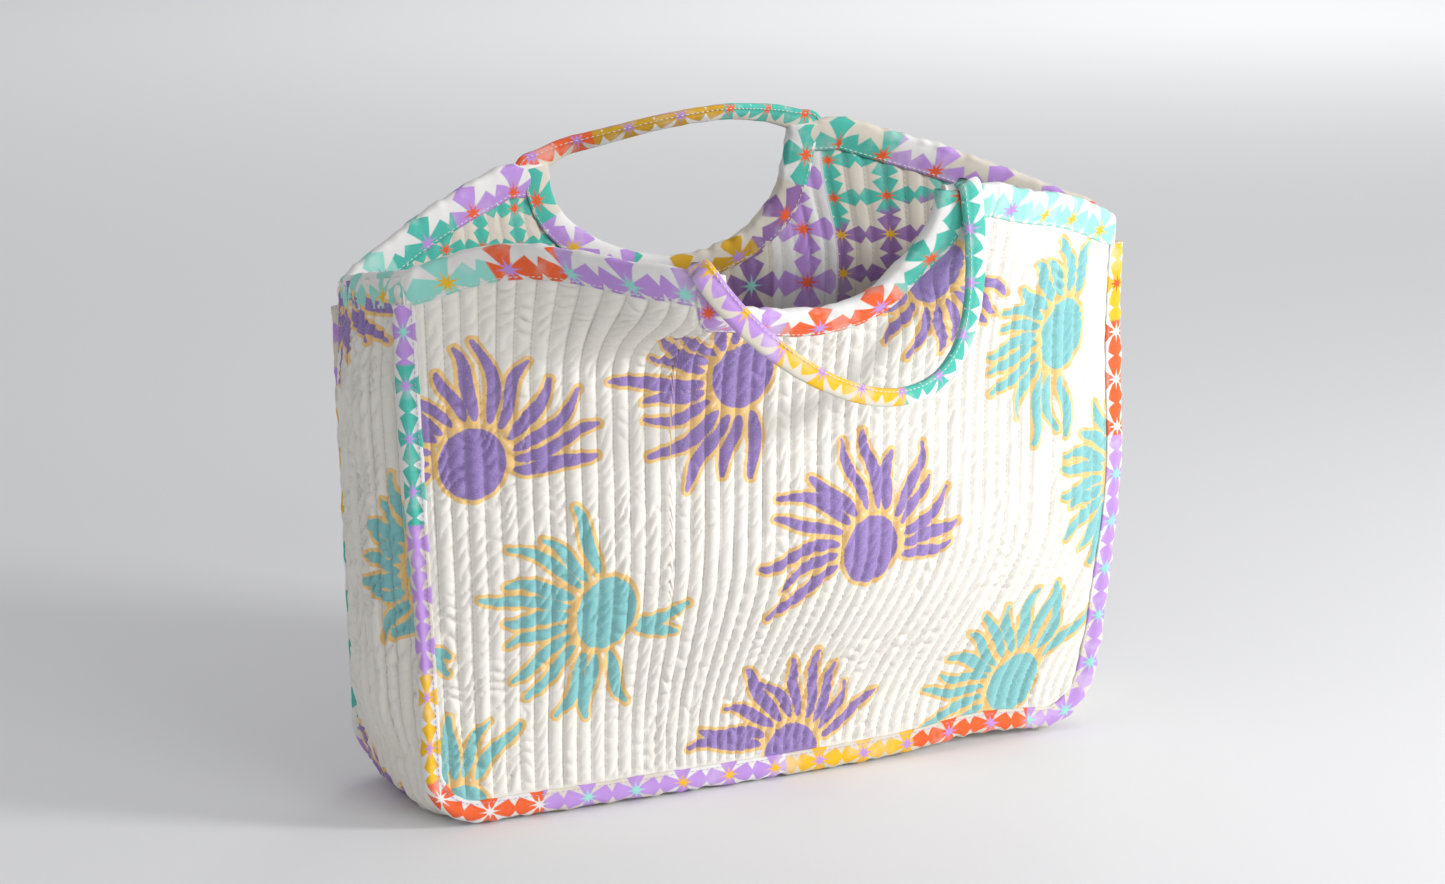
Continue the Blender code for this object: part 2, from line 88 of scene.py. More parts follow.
# Handles, as in the CAD but 0.4 mm thicker, and at the back 8 mm lower and leaning 9 degrees less.
STRAP_WIDTH = 0.0132
STRAP_THICKNESS = 0.0050
STRAP_SQUEEZE = 0.25
STRAP_FORWARD = 0.0046
FRONT_STRAP_ABOVE = 0.0046
BACK_STRAP_ABOVE = 0.0064
STRAP_ROOT = 0.088
FRONT_STRAP_TUCK = 0.10
FRONT_STRAP_BENDS = ((0.045, 0.082), (0.007, 0.178))
BACK_HANDLE_RISE = 0.026
BACK_HANDLE_LEAN = np.radians(63)
BACK_STRAP_FACE = np.array([0.0, -0.84, -0.54])

# Quilting.
CHANNEL = 0.0081
RIDGE = 0.0029
VALLEY = 0.0010
PUCKER = 0.0034
ROPE = 0.0085
ROPE_SLANT = 0.80
PRESSED = 0.0003
PUFF_POWER = 0.50
CREASE_POWER = 2.3
QUILT_OVERLAP = 0.0015
GUSSET_CHANNELS = 11.0
GUSSET_PUFF = 1.35

# Tapes.
TAPE_WIDTH = 0.016
SCOOP_TAPE_WIDTH = 0.0122
TAPE_STEP = 0.00125
TAPE_LEG_POINTS = 11
TAPE_ARC_POINTS = 7
BACK_TAPE_FOLD = 1.75
STITCH_PITCH = 0.0031
STITCH_LENGTH = 0.0021
STITCH_RADIUS = 0.00026
STITCH_SIDES = 6

# Prints: tile sizes, the width of a burst's outline, and the soft edges of ink.
TAPE_TILE = 0.034
SEAM_TILE = 0.0285
STRAP_TILE = 0.0300
LINING_TILE = 0.0240
LARGE_LINING_TILE = 0.0330
OUTLINE = 0.0022
INK_EDGE = 0.0005
STAR_EDGE = 0.018

# Colours, linear.
CLOTH = (0.80, 0.775, 0.72)
PURPLE = (0.29, 0.20, 0.47)
TURQUOISE = (0.22, 0.52, 0.53)
AMBER = (0.84, 0.55, 0.21)
LILAC = (0.47, 0.27, 0.66)
DEEP_LILAC = (0.27, 0.145, 0.36)
TEAL = (0.07, 0.46, 0.37)
PALE_TEAL = (0.28, 0.66, 0.57)
ORANGE = (0.80, 0.115, 0.025)
YELLOW = (0.80, 0.46, 0.015)
OCHRE = (0.60, 0.34, 0.015)
CREAM = (0.66, 0.61, 0.52)
WHITE = (0.74, 0.73, 0.71)
THREAD = (0.78, 0.74, 0.68)
LILAC_THREAD = (0.55, 0.38, 0.66)

# Printed bursts: middle across and up, body half width and half height, tilt, fan start and end in degrees,
# petal length, and whether it is turquoise.
FRONT_BURSTS = (
    (-0.178, 0.194, 0.0165, 0.0195, -12, -18, 200, 0.040, 0),
    (-0.040, 0.236, 0.0165, 0.0200, -10, 100, 295, 0.044, 0),
    (0.077, 0.292, 0.0130, 0.0230, -18, 150, 345, 0.042, 0),
    (0.165, 0.234, 0.0150, 0.0210, -12, 58, 275, 0.038, 1),
    (0.218, 0.142, 0.0150, 0.0200, 0, 95, 265, 0.032, 1),
    (0.039, 0.127, 0.0165, 0.0195, -10, -22, 205, 0.042, 0),
    (-0.112, 0.107, 0.0155, 0.0210, -14, 92, 285, 0.044, 1),
    (-0.110, 0.103, 0.0110, 0.0130, 0, -30, -4, 0.032, 1),
    (0.152, 0.022, 0.0150, 0.0210, -35, 30, 235, 0.040, 1),
    (0.006, 0.004, 0.0165, 0.0180, 10, 12, 165, 0.040, 0),
    (-0.190, -0.002, 0.0150, 0.0160, 0, 60, 175, 0.042, 1),
    (-0.128, 0.374, 0.0130, 0.0130, 0, 200, 340, 0.030, 1),
    (-0.222, 0.090, 0.0120, 0.0120, 0, -12, 14, 0.017, 1),
)
BACK_BURSTS = (
    (-0.150, 0.240, 0.0165, 0.0200, 10, 80, 300, 0.042, 1),
    (-0.050, 0.180, 0.0165, 0.0200, -10, -20, 205, 0.044, 0),
    (0.060, 0.225, 0.0155, 0.0210, 12, 120, 330, 0.044, 1),
    (0.150, 0.150, 0.0165, 0.0200, 0, -30, 200, 0.042, 0),
    (-0.120, 0.080, 0.0165, 0.0190, -20, 100, 310, 0.044, 0),
    (0.000, 0.060, 0.0160, 0.0200, 15, 30, 240, 0.042, 1),
    (0.120, 0.030, 0.0165, 0.0200, -25, 0, 190, 0.040, 0),
    (0.100, 0.320, 0.0150, 0.0200, 0, 180, 330, 0.038, 0),
    (-0.195, 0.150, 0.0150, 0.0200, 0, -90, 60, 0.036, 1),
)
GUSSET_BURSTS = (
    (0.040, -0.006, 0.0150, 0.0180, 0, -155, -25, 0.044, 0),
    (0.113, 0.160, 0.0150, 0.0200, 0, 110, 255, 0.036, 1),
    (0.020, 0.330, 0.0160, 0.0200, 0, -40, 150, 0.038, 0),
    (0.070, 0.480, 0.0160, 0.0200, 0, 90, 300, 0.040, 1),
    (0.030, 0.640, 0.0160, 0.0200, 0, -60, 140, 0.040, 0),
    (0.060, 0.790, 0.0160, 0.0200, 0, 60, 250, 0.040, 1),
    (0.035, 0.930, 0.0160, 0.0200, 0, -30, 200, 0.040, 0),
)

QUILT_COLUMNS = 400
QUILT_ROWS = 248
LINING_COLUMNS = 300
LINING_ROWS = 110
GUSSET_COLUMNS = 118
GUSSET_TOP_COLUMNS = 60
GUSSET_STEP = 0.0025
FLOOR_GAP = 0.0004


def ease(value):
    """Smooth step from 0 to 1."""
    value = np.clip(value, 0.0, 1.0)
    return value * value * (3.0 - 2.0 * value)


def hump(value, middle, spread):
    return np.exp(-(((value - middle) / spread) ** 2))


def lattice(column, row, seed):
    """A repeatable value from 0 to 1 for each pair of whole numbers."""
    mixed = column.astype(np.int64) * 374761393 + row.astype(np.int64) * 668265263 + seed * 974711
    mixed = (mixed ^ (mixed >> 13)) * 1274126177 & 0xFFFFFFFF
    return ((mixed ^ (mixed >> 16)) & 0xFFFFFF) / float(0xFFFFFF)


def noise(u, v, seed):
    """Smooth noise from -1 to 1 that changes about once for each unit of u and v."""
    u, v = np.broadcast_arrays(np.asarray(u, float), np.asarray(v, float))
    column = np.floor(u)
    row = np.floor(v)
    across = (u - column) ** 2 * (3.0 - 2.0 * (u - column))
    up = (v - row) ** 2 * (3.0 - 2.0 * (v - row))
    low = lattice(column, row, seed) * (1.0 - across) + lattice(column + 1, row, seed) * across
    high = lattice(column, row + 1, seed) * (1.0 - across) + lattice(column + 1, row + 1, seed) * across
    return 2.0 * (low * (1.0 - up) + high * up) - 1.0


# ---- The bag's settled shape: the front as in the CAD, the back slumped a little further ----


def unit(vectors):
    """Rows of vectors scaled to length 1."""
    return vectors / np.linalg.norm(vectors, axis=-1, keepdims=True)


def travelled(points):
    """Distance along a row of points."""
    return np.concatenate([[0.0], np.cumsum(np.linalg.norm(np.diff(points, axis=0), axis=1))])


def sampled(values, travel, even):
    """Rows of three values given at the distances travel, read off at the distances even."""
    return np.stack([np.interp(even, travel, values[:, axis]) for axis in range(3)], axis=1)


def top_height(across):
    """Height of the panel's cut top edge: a slanted shoulder, a flat ear and a round scoop."""
    reach = np.abs(across)
    slant = (HALF_WIDTH - reach) / (HALF_WIDTH - EAR_OUTER)
    shoulder = SIDE_HEIGHT + (EAR_HEIGHT - SIDE_HEIGHT) * np.minimum(slant, 1.0)
    round_part = np.sqrt(np.clip(1.0 - (reach / EAR_INNER) ** 2, 0.0, 1.0))
    scoop = EAR_HEIGHT - (EAR_HEIGHT - SCOOP_HEIGHT) * round_part
    return np.where(reach < EAR_INNER, scoop, shoulder)


def bottom_height(across):
    """Height of the panel's bottom edge, which turns up round its corners."""
    past = np.clip(np.abs(across) - (HALF_WIDTH - CORNER_RADIUS), 0.0, CORNER_RADIUS)
    return CORNER_RADIUS - np.sqrt(CORNER_RADIUS**2 - past**2)


def front_surface(across, height):
    edge = across / HALF_WIDTH
    belly = (1.0 - edge**2) * ease(height / 0.14)
    lean = ease((height - 0.235) / 0.107)
    left_ear = lean * hump(across, -0.085, 0.060)
    right_ear = lean * hump(across, 0.100, 0.060)
    slump = ease((height - 0.24) / 0.06) * hump(across, 0.070, 0.035)
    low = 1.0 - ease(height / 0.06)
    swell = RIGHT_SIDE_SWELL * np.clip(edge, 0.0, 1.0) ** 2 * hump(height, 0.14, 0.07)
    x = across * (1.0 + WIDENING * height / SIDE_HEIGHT) + swell - 0.006 * low * ease((across - 0.15) / 0.05)
    y = -HALF_DEPTH - FRONT_BULGE * belly - MOUTH_FLARE * (1.0 - edge**2) * ease((height - 0.19) / 0.09)
    y = y - LEFT_EAR_FORWARD * left_ear - RIGHT_EAR_FORWARD * right_ear - BOTTOM_BOW * low * (1.0 - edge**2)
    z = SEAM_HEIGHT + height - LEFT_EAR_DROP * left_ear - RIGHT_EAR_DROP * right_ear
    z = z + 0.005 * low * hump(across, 0.13, 0.04) - FRONT_SCOOP_DROP * hump(across, 0.02, 0.05) * lean
    return np.stack(np.broadcast_arrays(x - RIGHT_EAR_SLUMP * slump, y, z), axis=-1)


def back_surface(across, height):
    edge = across / HALF_WIDTH
    belly = (1.0 - edge**2) * ease(height / 0.16)
    pinch = ease((height - 0.10) / 0.18) * np.clip((across - 0.03) / 0.175, 0.0, 1.0) ** 2
    settle = 0.038 * across - 0.25 * across**2 - 0.006 * hump(across, -0.09, 0.04)
    settle = settle * ease((height - 0.15) / 0.13)
    x = across * (1.0 + 0.4 * WIDENING * height / SIDE_HEIGHT) + PINCH_RIGHT * pinch
    y = HALF_DEPTH + BACK_BULGE * belly - PINCH_FORWARD * pinch
    y = y - BACK_LEFT_FORWARD * np.clip(-edge, 0.0, 1.0) ** 2
    x = x - BACK_LEFT_SHIFT * np.clip(-edge, 0.0, 1.0) ** 2
    ears = ease((height - 0.255) / 0.08)
    left_ear = ears * hump(across, -0.085, 0.055)
    right_ear = ears * hump(across, 0.082, 0.048)
    x = x - BACK_LEFT_EAR_SLUMP * left_ear - BACK_RIGHT_EAR_SLUMP * right_ear
    z = SEAM_HEIGHT + height + settle - BACK_LEFT_EAR_DROP * left_ear - BACK_RIGHT_EAR_DROP * right_ear
    return np.stack(np.broadcast_arrays(x, y, z), axis=-1)


def surface_normal(surface, across, height, towards):
    """Unit normal of a panel's outer face; towards is -1 at the front and 1 at the back."""
    step = 0.0005
    along = surface(across + step, height) - surface(across - step, height)
    upward = surface(across, height + step) - surface(across, height - step)
    normal = unit(np.cross(along, upward))
    return normal * np.sign(normal[..., 1:2]) * towards


def seam_path(step):
    """Flat points, outward directions and distances round a panel's left side, bottom and right side."""
    middle = HALF_WIDTH - CORNER_RADIUS
    side = SIDE_HEIGHT - CORNER_RADIUS
    turn = np.pi / 2 * CORNER_RADIUS
    length = 2 * side + 2 * turn + 2 * middle
    travel = np.linspace(0.0, length, int(length / step) + 1)
    first_turn = np.clip((travel - side) / turn, 0.0, 1.0)
    second_turn = np.clip((travel - side - turn - 2 * middle) / turn, 0.0, 1.0)
    angle = (first_turn + second_turn) * np.pi / 2
    outward = np.stack([-np.cos(angle), -np.sin(angle)], axis=1)
    across = -middle + np.clip(travel - side - turn, 0.0, 2 * middle)
    height = SIDE_HEIGHT - np.minimum(travel, side) + np.clip(travel - (length - side), 0.0, side)
    places = np.stack([across, height], axis=1) + CORNER_RADIUS * outward
    places[:, 1] = np.where(np.abs(outward[:, 0]) > 1.0 - 1e-9, height, places[:, 1])
    return places, outward, travel


def gusset_grid(columns):
    """Outer face of the gusset: points, distance along the strip, distance across it, and normals."""
    places, outward, travel = seam_path(GUSSET_STEP)
    depth = np.linspace(0.0, 1.0, columns)[None, :, None]
    right = (outward[:, 0] > 0.5).astype(float)
    height = places[:, 1]
    shift = np.array([0.0, SEAM_INSET, 0.0])
    front = front_surface(places[:, 0], height) + shift
    back = back_surface(places[:, 0], height) - shift
    side = np.abs(outward[:, 0]) * ease(height / 0.06) * (1.0 - 0.45 * ease((height - 0.23) / 0.06))
    swell = BASE_SWELL * np.maximum(-outward[:, 1], 0.0)
    swell = swell + (SIDE_SWELL + (0.004 - SIDE_SWELL) * right) * side
    swell = swell - 0.009 * right * ease((height - 0.12) / 0.16)
    flatness = np.where(outward[:, 1] < -0.5, 4.0, 2.0)[:, None]
    bow = swell[:, None] * (1.0 - np.abs(2.0 * depth[..., 0] - 1.0) ** flatness)
    points = front[:, None] * (1.0 - depth) + back[:, None] * depth
    points = points + bow[..., None] * np.stack([outward[:, 0], 0 * height, outward[:, 1]], axis=1)[:, None]
    across = depth[..., 0] * np.linalg.norm(back - front, axis=1)[:, None]
    normals = grid_normals(points, points * np.array([1.0, 0.0, 1.0]) - np.array([0.0, 0.0, 0.16]))
    return points, np.broadcast_to(travel[:, None], across.shape), across, normals


def grid_normals(grid, outward):
    """Unit normals of a grid of points, on the side that the vectors in outward point to."""
    normals = np.cross(np.gradient(grid, axis=0), np.gradient(grid, axis=1))
    normals /= np.linalg.norm(normals, axis=-1, keepdims=True) + 1e-12
    return normals * np.sign(np.sum(normals * outward, axis=-1, keepdims=True))


def rope_count(line, along, seed):
    """Counts the diagonal creases that cross the channels, rising to the right."""
    jitter = 0.85 * noise(along / 0.021, line / 1.2, seed + 1)
    jitter = jitter + 0.3 * noise(along / 0.008, line / 0.7, seed + 4)
    return along / ROPE - line * ROPE_SLANT + jitter


def quilt_relief(line, along, rope, seed):
    """Height of puffed, diagonally creased channels over the cloth's mean face; line counts the channels."""
    channel = np.floor(line)
    share = line - channel
    own = lattice(channel, 0 * channel, seed)
    puff = (4.0 * share * (1.0 - share)) ** PUFF_POWER
    strand = np.floor(rope)
    part = rope - strand
    depth = lattice(strand, channel, seed + 2) * 0.5 + lattice(strand + 1, channel, seed + 2) * 0.5
    sunk = np.abs(1.0 - 2.0 * part) ** CREASE_POWER
    presence = 0.45 + 0.55 * ease(0.5 + noise(along / 0.05, line / 5.0, seed + 5))
    lumps = noise(along / 0.013 + 9.0 * own, channel * 3.1, seed + 3)
    height = RIDGE * (0.84 + 0.32 * own) * puff - VALLEY
    return height + puff * (0.0002 * lumps - PUCKER * depth * sunk * presence)


def edge_distance(across, height):
    """Distance from a place on a panel to the nearest cut edge or seam of the panel."""
    scoop = np.hypot(across / EAR_INNER, (EAR_HEIGHT - height) / (EAR_HEIGHT - SCOOP_HEIGHT))
    top = np.where(np.abs(across) < EAR_INNER, 0.1, (top_height(across) - height) * 0.9)
    side = HALF_WIDTH - np.abs(across) + 0.011
    low = height - bottom_height(across) + 0.011
    inner = (scoop - 1.0) * EAR_INNER + TAPE_WIDTH - SCOOP_TAPE_WIDTH
    return np.minimum(np.minimum(inner, top), np.minimum(side, low))


def panel_line(across, height, seed):
    """Channel count at a place on a panel: pitch and direction waver, and the lower right is pulled over."""
    pull = 0.042 * ease((0.125 - height) / 0.125) * ease((across + 0.10) / 0.16)
    waver = 0.0011 * noise(across / 0.05, height / 0.09, seed)
    return (across + pull + waver + HALF_WIDTH) / CHANNEL


# ---- Meshes ----


def new_piece(name, points, faces, material, fields=(), colours=()):
    """A smooth mesh object with float and colour attributes on its points."""
    mesh = bpy.data.meshes.new(name)
    mesh.from_pydata(points.tolist(), [], faces)
    mesh.validate()
    mesh.shade_smooth()
    for field, values in dict(fields).items():
        layer = mesh.attributes.new(field, "FLOAT", "POINT")
        layer.data.foreach_set("value", np.asarray(values, np.float32).ravel())
    for field, values in dict(colours).items():
        layer = mesh.attributes.new(field, "FLOAT_COLOR", "POINT")
        rgba = np.concatenate([values, np.ones((len(values), 1))], axis=1)
        layer.data.foreach_set("color", rgba.astype(np.float32).ravel())
    mesh.materials.append(material)
    thing = bpy.data.objects.new(name, mesh)
    bpy.context.scene.collection.objects.link(thing)
    return thing


def grid_faces(rows, columns, flip):
    index = np.arange(rows * columns).reshape(rows, columns)
    corners = [index[:-1, :-1], index[1:, :-1], index[1:, 1:], index[:-1, 1:]]
    faces = np.stack(corners, axis=-1).reshape(-1, 4)
    return (faces[:, ::-1] if flip else faces).tolist()


def sheet_piece(name, grid, outward, material, fields, colours=()):
    """An open sheet of cloth from a grid of points, its faces turned to the outward side."""
    rows, columns = grid.shape[:2]
    row, column = rows // 2, columns // 2
    middle = grid[row, column]
    normal = np.cross(grid[row + 1, column] - middle, grid[row, column + 1] - middle)
    faces = grid_faces(rows, columns, normal @ outward[row, column] < 0)
    return new_piece(name, grid.reshape(-1, 3), faces, material, fields, colours)


def capped(values):
    """Values on a tube's points, with the first and the last repeated for the middles of its two ends."""
    return np.concatenate([values, values[[0, -1]]])


def tube_piece(name, rings, material, fields, colours):
    """A closed body through rings of points, given as (stations, ring, 3)."""
    stations, around = rings.shape[:2]
    index = np.arange(stations * around).reshape(stations, around)
    beyond = np.roll(index, -1, axis=1)
    faces = np.stack([index[:-1], beyond[:-1], beyond[1:], index[1:]], axis=-1).reshape(-1, 4)
    points = rings.reshape(-1, 3)
    ends = np.stack([rings[0].mean(axis=0), rings[-1].mean(axis=0)])
    first = np.stack([np.full(around, len(points)), beyond[0], index[0]], axis=1)
    last = np.stack([np.full(around, len(points) + 1), index[-1], beyond[-1]], axis=1)
    triangles = np.concatenate([first, last])
    corners = points[faces]
    volume = np.einsum("ij,ij->", corners[:, 0], np.cross(corners[:, 1], corners[:, 2]))
    volume += np.einsum("ij,ij->", corners[:, 0], np.cross(corners[:, 2], corners[:, 3]))
    if volume < 0:
        faces = faces[:, ::-1]
        triangles = triangles[:, ::-1]
    faces = [*faces.tolist(), *triangles.tolist()]
    fields = {key: capped(np.ravel(values)) for key, values in fields.items()}
    colours = {key: capped(values) for key, values in colours.items()}
    return new_piece(name, np.concatenate([points, ends]), faces, material, fields, colours)


# ---- Prints ----


def burst_distance(across, height, spot, seed):
    """Distance outside one printed burst, in metres: an oval body and a fan of waving, tapering petals."""
    middle_x, middle_y, half_width, half_height, tilt, start, stop, length, _ = spot
    right = across - middle_x
    up = height - middle_y
    cos, sin = np.cos(np.radians(tilt)), np.sin(np.radians(tilt))
    scaled = np.hypot((right * cos + up * sin) / half_width, (up * cos - right * sin) / half_height) + 1e-6
    best = (scaled - 1.0) * min(half_width, half_height)
    radius = np.hypot(right, up) + 1e-6
    angle = np.arctan2(up, right)
    base = radius / scaled + 0.0048
    count = max(int(round((stop - start) / 16.0)), 2)
    rng = np.random.default_rng(seed)
    sweep = rng.uniform(-0.28, 0.28)
    for petal in range(count):
        aim = np.radians(start + (stop - start) * (petal + 0.5) / count + rng.uniform(-2.5, 2.5))
        reach = length * rng.uniform(0.66, 1.10)
        sway = sweep + rng.uniform(-0.09, 0.09)
        wave = rng.uniform(0.04, 0.09)
        phase = rng.uniform(0.0, 6.28)
        wide = rng.uniform(0.0026, 0.0034)
        share = np.clip((radius - base) / reach, 0.0, 1.0)
        line = aim + sway * share + wave * share * np.sin(5.0 * share + phase)
        off = (angle - line + np.pi) % (2 * np.pi) - np.pi
        side = np.where(np.abs(off) < 1.4, radius * np.sin(off), 1.0)
        width = wide * (0.34 + 0.80 * np.sin(np.pi * share**0.8) ** 0.7 + 0.10 * share)
        best = np.minimum(best, np.hypot(side, radius - base - reach * share) - width)
    return best


def burst_fields(across, height, spots, seed):
    """Distance outside the nearest printed burst, and 1 where it is a turquoise one."""
    best = np.full(across.shape, 0.02)
    kind = np.zeros(across.shape)
    for index, spot in enumerate(spots):
        near = np.hypot(across - spot[0], height - spot[1]) < spot[7] + 0.035
        found = np.full(across.shape, 0.02)
        found[near] = burst_distance(across[near], height[near], spot, seed + index)
        kind = np.where(found < best, float(spot[8]), kind)
        best = np.minimum(best, found)
    return best, kind


# ---- Materials ----


class Shade:
    """A number in a shader: arithmetic on it adds maths nodes to its tree."""

    def __init__(self, tree, socket):
        self.tree = tree
        self.socket = socket

    def maths(self, operation, *others, clamp=False):
        node = self.tree.nodes.new("ShaderNodeMath")
        node.operation = operation
        node.use_clamp = clamp
        for slot, value in enumerate((self, *others)):
            if isinstance(value, Shade):
                self.tree.links.new(value.socket, node.inputs[slot])
            else:
                node.inputs[slot].default_value = value
        return Shade(self.tree, node.outputs[0])

    def __add__(self, other):
        return self.maths("ADD", other)

    def __sub__(self, other):
        return self.maths("SUBTRACT", other)

    def __mul__(self, other):
        return self.maths("MULTIPLY", other)

    def over(self, edge, softness):
        """1 where the value is above edge and 0 below it, with a soft step."""
        return ((self - edge) * (1.0 / softness)).maths("ADD", 0.5, clamp=True)


def attribute(tree, name):
    node = tree.nodes.new("ShaderNodeAttribute")
    node.attribute_name = name
    return node


def field(tree, name):
    return Shade(tree, attribute(tree, name).outputs["Fac"])


def grain(tree, scale, detail, stretch=(1.0, 1.0, 1.0)):
    """A noise texture over the object, with features about 1 / scale metres across."""
    place = tree.nodes.new("ShaderNodeTexCoord")
    mapping = tree.nodes.new("ShaderNodeMapping")
    mapping.inputs["Scale"].default_value = stretch
    texture = tree.nodes.new("ShaderNodeTexNoise")
    texture.inputs["Scale"].default_value = scale
    texture.inputs["Detail"].default_value = detail
    tree.links.new(place.outputs["Object"], mapping.inputs["Vector"])
    tree.links.new(mapping.outputs["Vector"], texture.inputs["Vector"])
    return Shade(tree, texture.outputs["Fac"])


def blend_colours(tree, factor, first, second):
    """Mixes two colours, each a tuple or a socket, by a shade."""
    node = tree.nodes.new("ShaderNodeMix")
    node.data_type = "RGBA"
    tree.links.new(factor.socket, node.inputs["Factor"])
    for name, value in (("A", first), ("B", second)):
        socket = [s for s in node.inputs if s.name == name and s.type == "RGBA"][0]
        if isinstance(value, tuple):
            socket.default_value = (*value, 1.0)
        else:
            tree.links.new(value, socket)
    return [s for s in node.outputs if s.type == "RGBA"][0]


def new_cloth(name, roughness=0.85):
    """A cotton material; returns the material, its tree and its shader node."""
    material = bpy.data.materials.new(name)
    material.use_nodes = True
    tree = material.node_tree
    shader = tree.nodes["Principled BSDF"]
    shader.inputs["Roughness"].default_value = roughness
    shader.inputs["Specular IOR Level"].default_value = 0.18
    shader.inputs["Sheen Weight"].default_value = 0.12
    shader.inputs["Sheen Roughness"].default_value = 0.5
    return material, tree, shader


def finish_cloth(tree, shader, colour, height, strength, distance):
    """Links a colour and a bump height to the shader."""
    tree.links.new(colour, shader.inputs["Base Color"])
    bump = tree.nodes.new("ShaderNodeBump")
    bump.inputs["Strength"].default_value = strength
    bump.inputs["Distance"].default_value = distance
    tree.links.new(height.socket, bump.inputs["Height"])
    tree.links.new(bump.outputs["Normal"], shader.inputs["Normal"])


def weave(tree):
    """Height of the plain weave and its slubs."""
    fine = grain(tree, 2600.0, 1.0)
    across = grain(tree, 900.0, 2.0, (3.0, 3.0, 0.35))
    down = grain(tree, 900.0, 2.0, (0.35, 0.35, 3.0))
    return fine * 0.4 + across * 0.35 + down * 0.35


def channel_stitches(tree):
    """(thread mask, valley dip) of the running stitches along the quilting lines; the dip is a bump and also
    painted shade in the valleys.
    """
    share = field(tree, "line").maths("FRACT")
    off = (share - 0.5).maths("ABSOLUTE")
    along = (field(tree, "along") * (1.0 / STITCH_PITCH)).maths("FRACT")
    dash = along.over(0.30, 0.12) * (along * -1.0).over(-0.97, 0.12)
    return off.over(0.470, 0.02) * dash, off.over(0.466, 0.04) * (dash * -0.45 + 1.0)


def rope_height(tree):
    """Height of the fine, sharp creases across the channels."""
    share = field(tree, "rope").maths("FRACT")
    return (share * (share * -1.0 + 1.0) * 4.0).maths("POWER", 0.35)


def make_quilt_material():
    material, tree, shader = new_cloth("quilt_print")
    drift = grain(tree, 35.0, 3.0)
    cloth = blend_colours(tree, drift, CLOTH, tuple(c * f for c, f in zip(CLOTH, (0.97, 0.965, 0.94))))
    edge = grain(tree, 700.0, 2.0) * 0.0010 - 0.0005
    distance = field(tree, "burst") + edge
    ink = blend_colours(tree, field(tree, "turquoise"), PURPLE, TURQUOISE)
    faded = grain(tree, 1500.0, 2.0).over(0.62, 0.25) * 0.22
    ink = blend_colours(tree, faded, ink, CLOTH)
    amber = blend_colours(tree, faded, AMBER, CLOTH)
    printed = blend_colours(tree, distance.over(0.0, INK_EDGE), ink, amber)
    colour = blend_colours(tree, distance.over(OUTLINE, INK_EDGE), printed, cloth)
    thread, valley_dip_and_shade = channel_stitches(tree)
    # Painted shade: the cloth is darkened towards brown along the sunk stitched valleys.
    colour = blend_colours(tree, valley_dip_and_shade * 0.42, colour, (0.33, 0.28, 0.22))
    height = weave(tree) * 0.5 + thread * 0.4 - valley_dip_and_shade * 0.6 + rope_height(tree) * 0.9
    finish_cloth(tree, shader, colour, height, 0.55, 0.0005)
    return material


def star_inside(first, second, axis, corner, valley):
    """Distance inside an eight-point star, given its points' reach along the axes and the diagonals."""
    out = first.maths("MAXIMUM", second)
    side = first.maths("MINIMUM", second)
    notch = valley * np.array([np.cos(np.pi / 8), np.sin(np.pi / 8)])
    inside = []
    for tip in (np.array([axis, 0.0]), corner * np.array([1.0, 1.0]) / np.sqrt(2.0)):
        edge = (notch - tip) / np.linalg.norm(notch - tip)
        normal = np.array([-edge[1], edge[0]])
        normal = normal * -np.sign(normal @ tip)
        inside.append(out * float(normal[0]) + side * float(normal[1]) + float(-normal @ tip))
    return inside[0].maths("MAXIMUM", inside[1])


def star_masks(tree):
    """(star, gap) masks: small stars on a lattice, and the large eight-point gaps between their petals."""
    right = (field(tree, "tile_u").maths("FRACT") - 0.5).maths("ABSOLUTE")
    up = (field(tree, "tile_v").maths("FRACT") - 0.5).maths("ABSOLUTE")
    star = star_inside(right, up, 0.20, 0.17, 0.065).over(0.0, STAR_EDGE)
    right = right * -1.0 + 0.5
    up = up * -1.0 + 0.5
    gap = star_inside(right, up, 0.44, 0.62, 0.285).over(0.0, STAR_EDGE)
    return star, gap


def make_star_material(name, patchy=0.3, quilted=False):
    """Cotton printed with stars; the three colours and the tile places are read from the mesh."""
    material, tree, shader = new_cloth(name)
    star, gap = star_masks(tree)
    ground = attribute(tree, "ground").outputs["Color"]
    washed = grain(tree, 55.0, 3.0).over(0.60, 0.14) * patchy
    petals = blend_colours(tree, washed, attribute(tree, "petal").outputs["Color"], WHITE)
    colour = blend_colours(tree, gap, petals, ground)
    colour = blend_colours(tree, star, colour, attribute(tree, "star").outputs["Color"])
    faded = grain(tree, 1500.0, 2.0).over(0.62, 0.25) * 0.10
    colour = blend_colours(tree, faded, colour, ground)
    height = weave(tree) * 0.6
    if quilted:
        thread, valley_dip_and_shade = channel_stitches(tree)
        # Painted shade: the lining print is darkened along the sunk stitched valleys.
        colour = blend_colours(tree, valley_dip_and_shade * 0.25, colour, (0.25, 0.20, 0.22))
        height = height + thread * 0.4 - valley_dip_and_shade * 0.6
    finish_cloth(tree, shader, colour, height, 0.45, 0.0005)
    return material


def make_thread_material(name, colour):
    material, tree, shader = new_cloth(name, 0.7)
    twist = grain(tree, 3000.0, 1.0)
    shaded = blend_colours(tree, twist, colour, tuple(0.8 * c for c in colour))
    finish_cloth(tree, shader, shaded, twist, 0.3, 0.0002)
    return material


def zone_colours(distance, zones):
    """Petal, ground and star colours for each distance along a tape."""
    starts = np.array([zone[0] for zone in zones])
    index = np.clip(np.searchsorted(starts, distance.ravel(), side="right") - 1, 0, len(zones) - 1)
    names = ("petal", "ground", "star")
    return {name: np.array([zone[column] for zone in zones])[index] for column, name in enumerate(names, 1)}


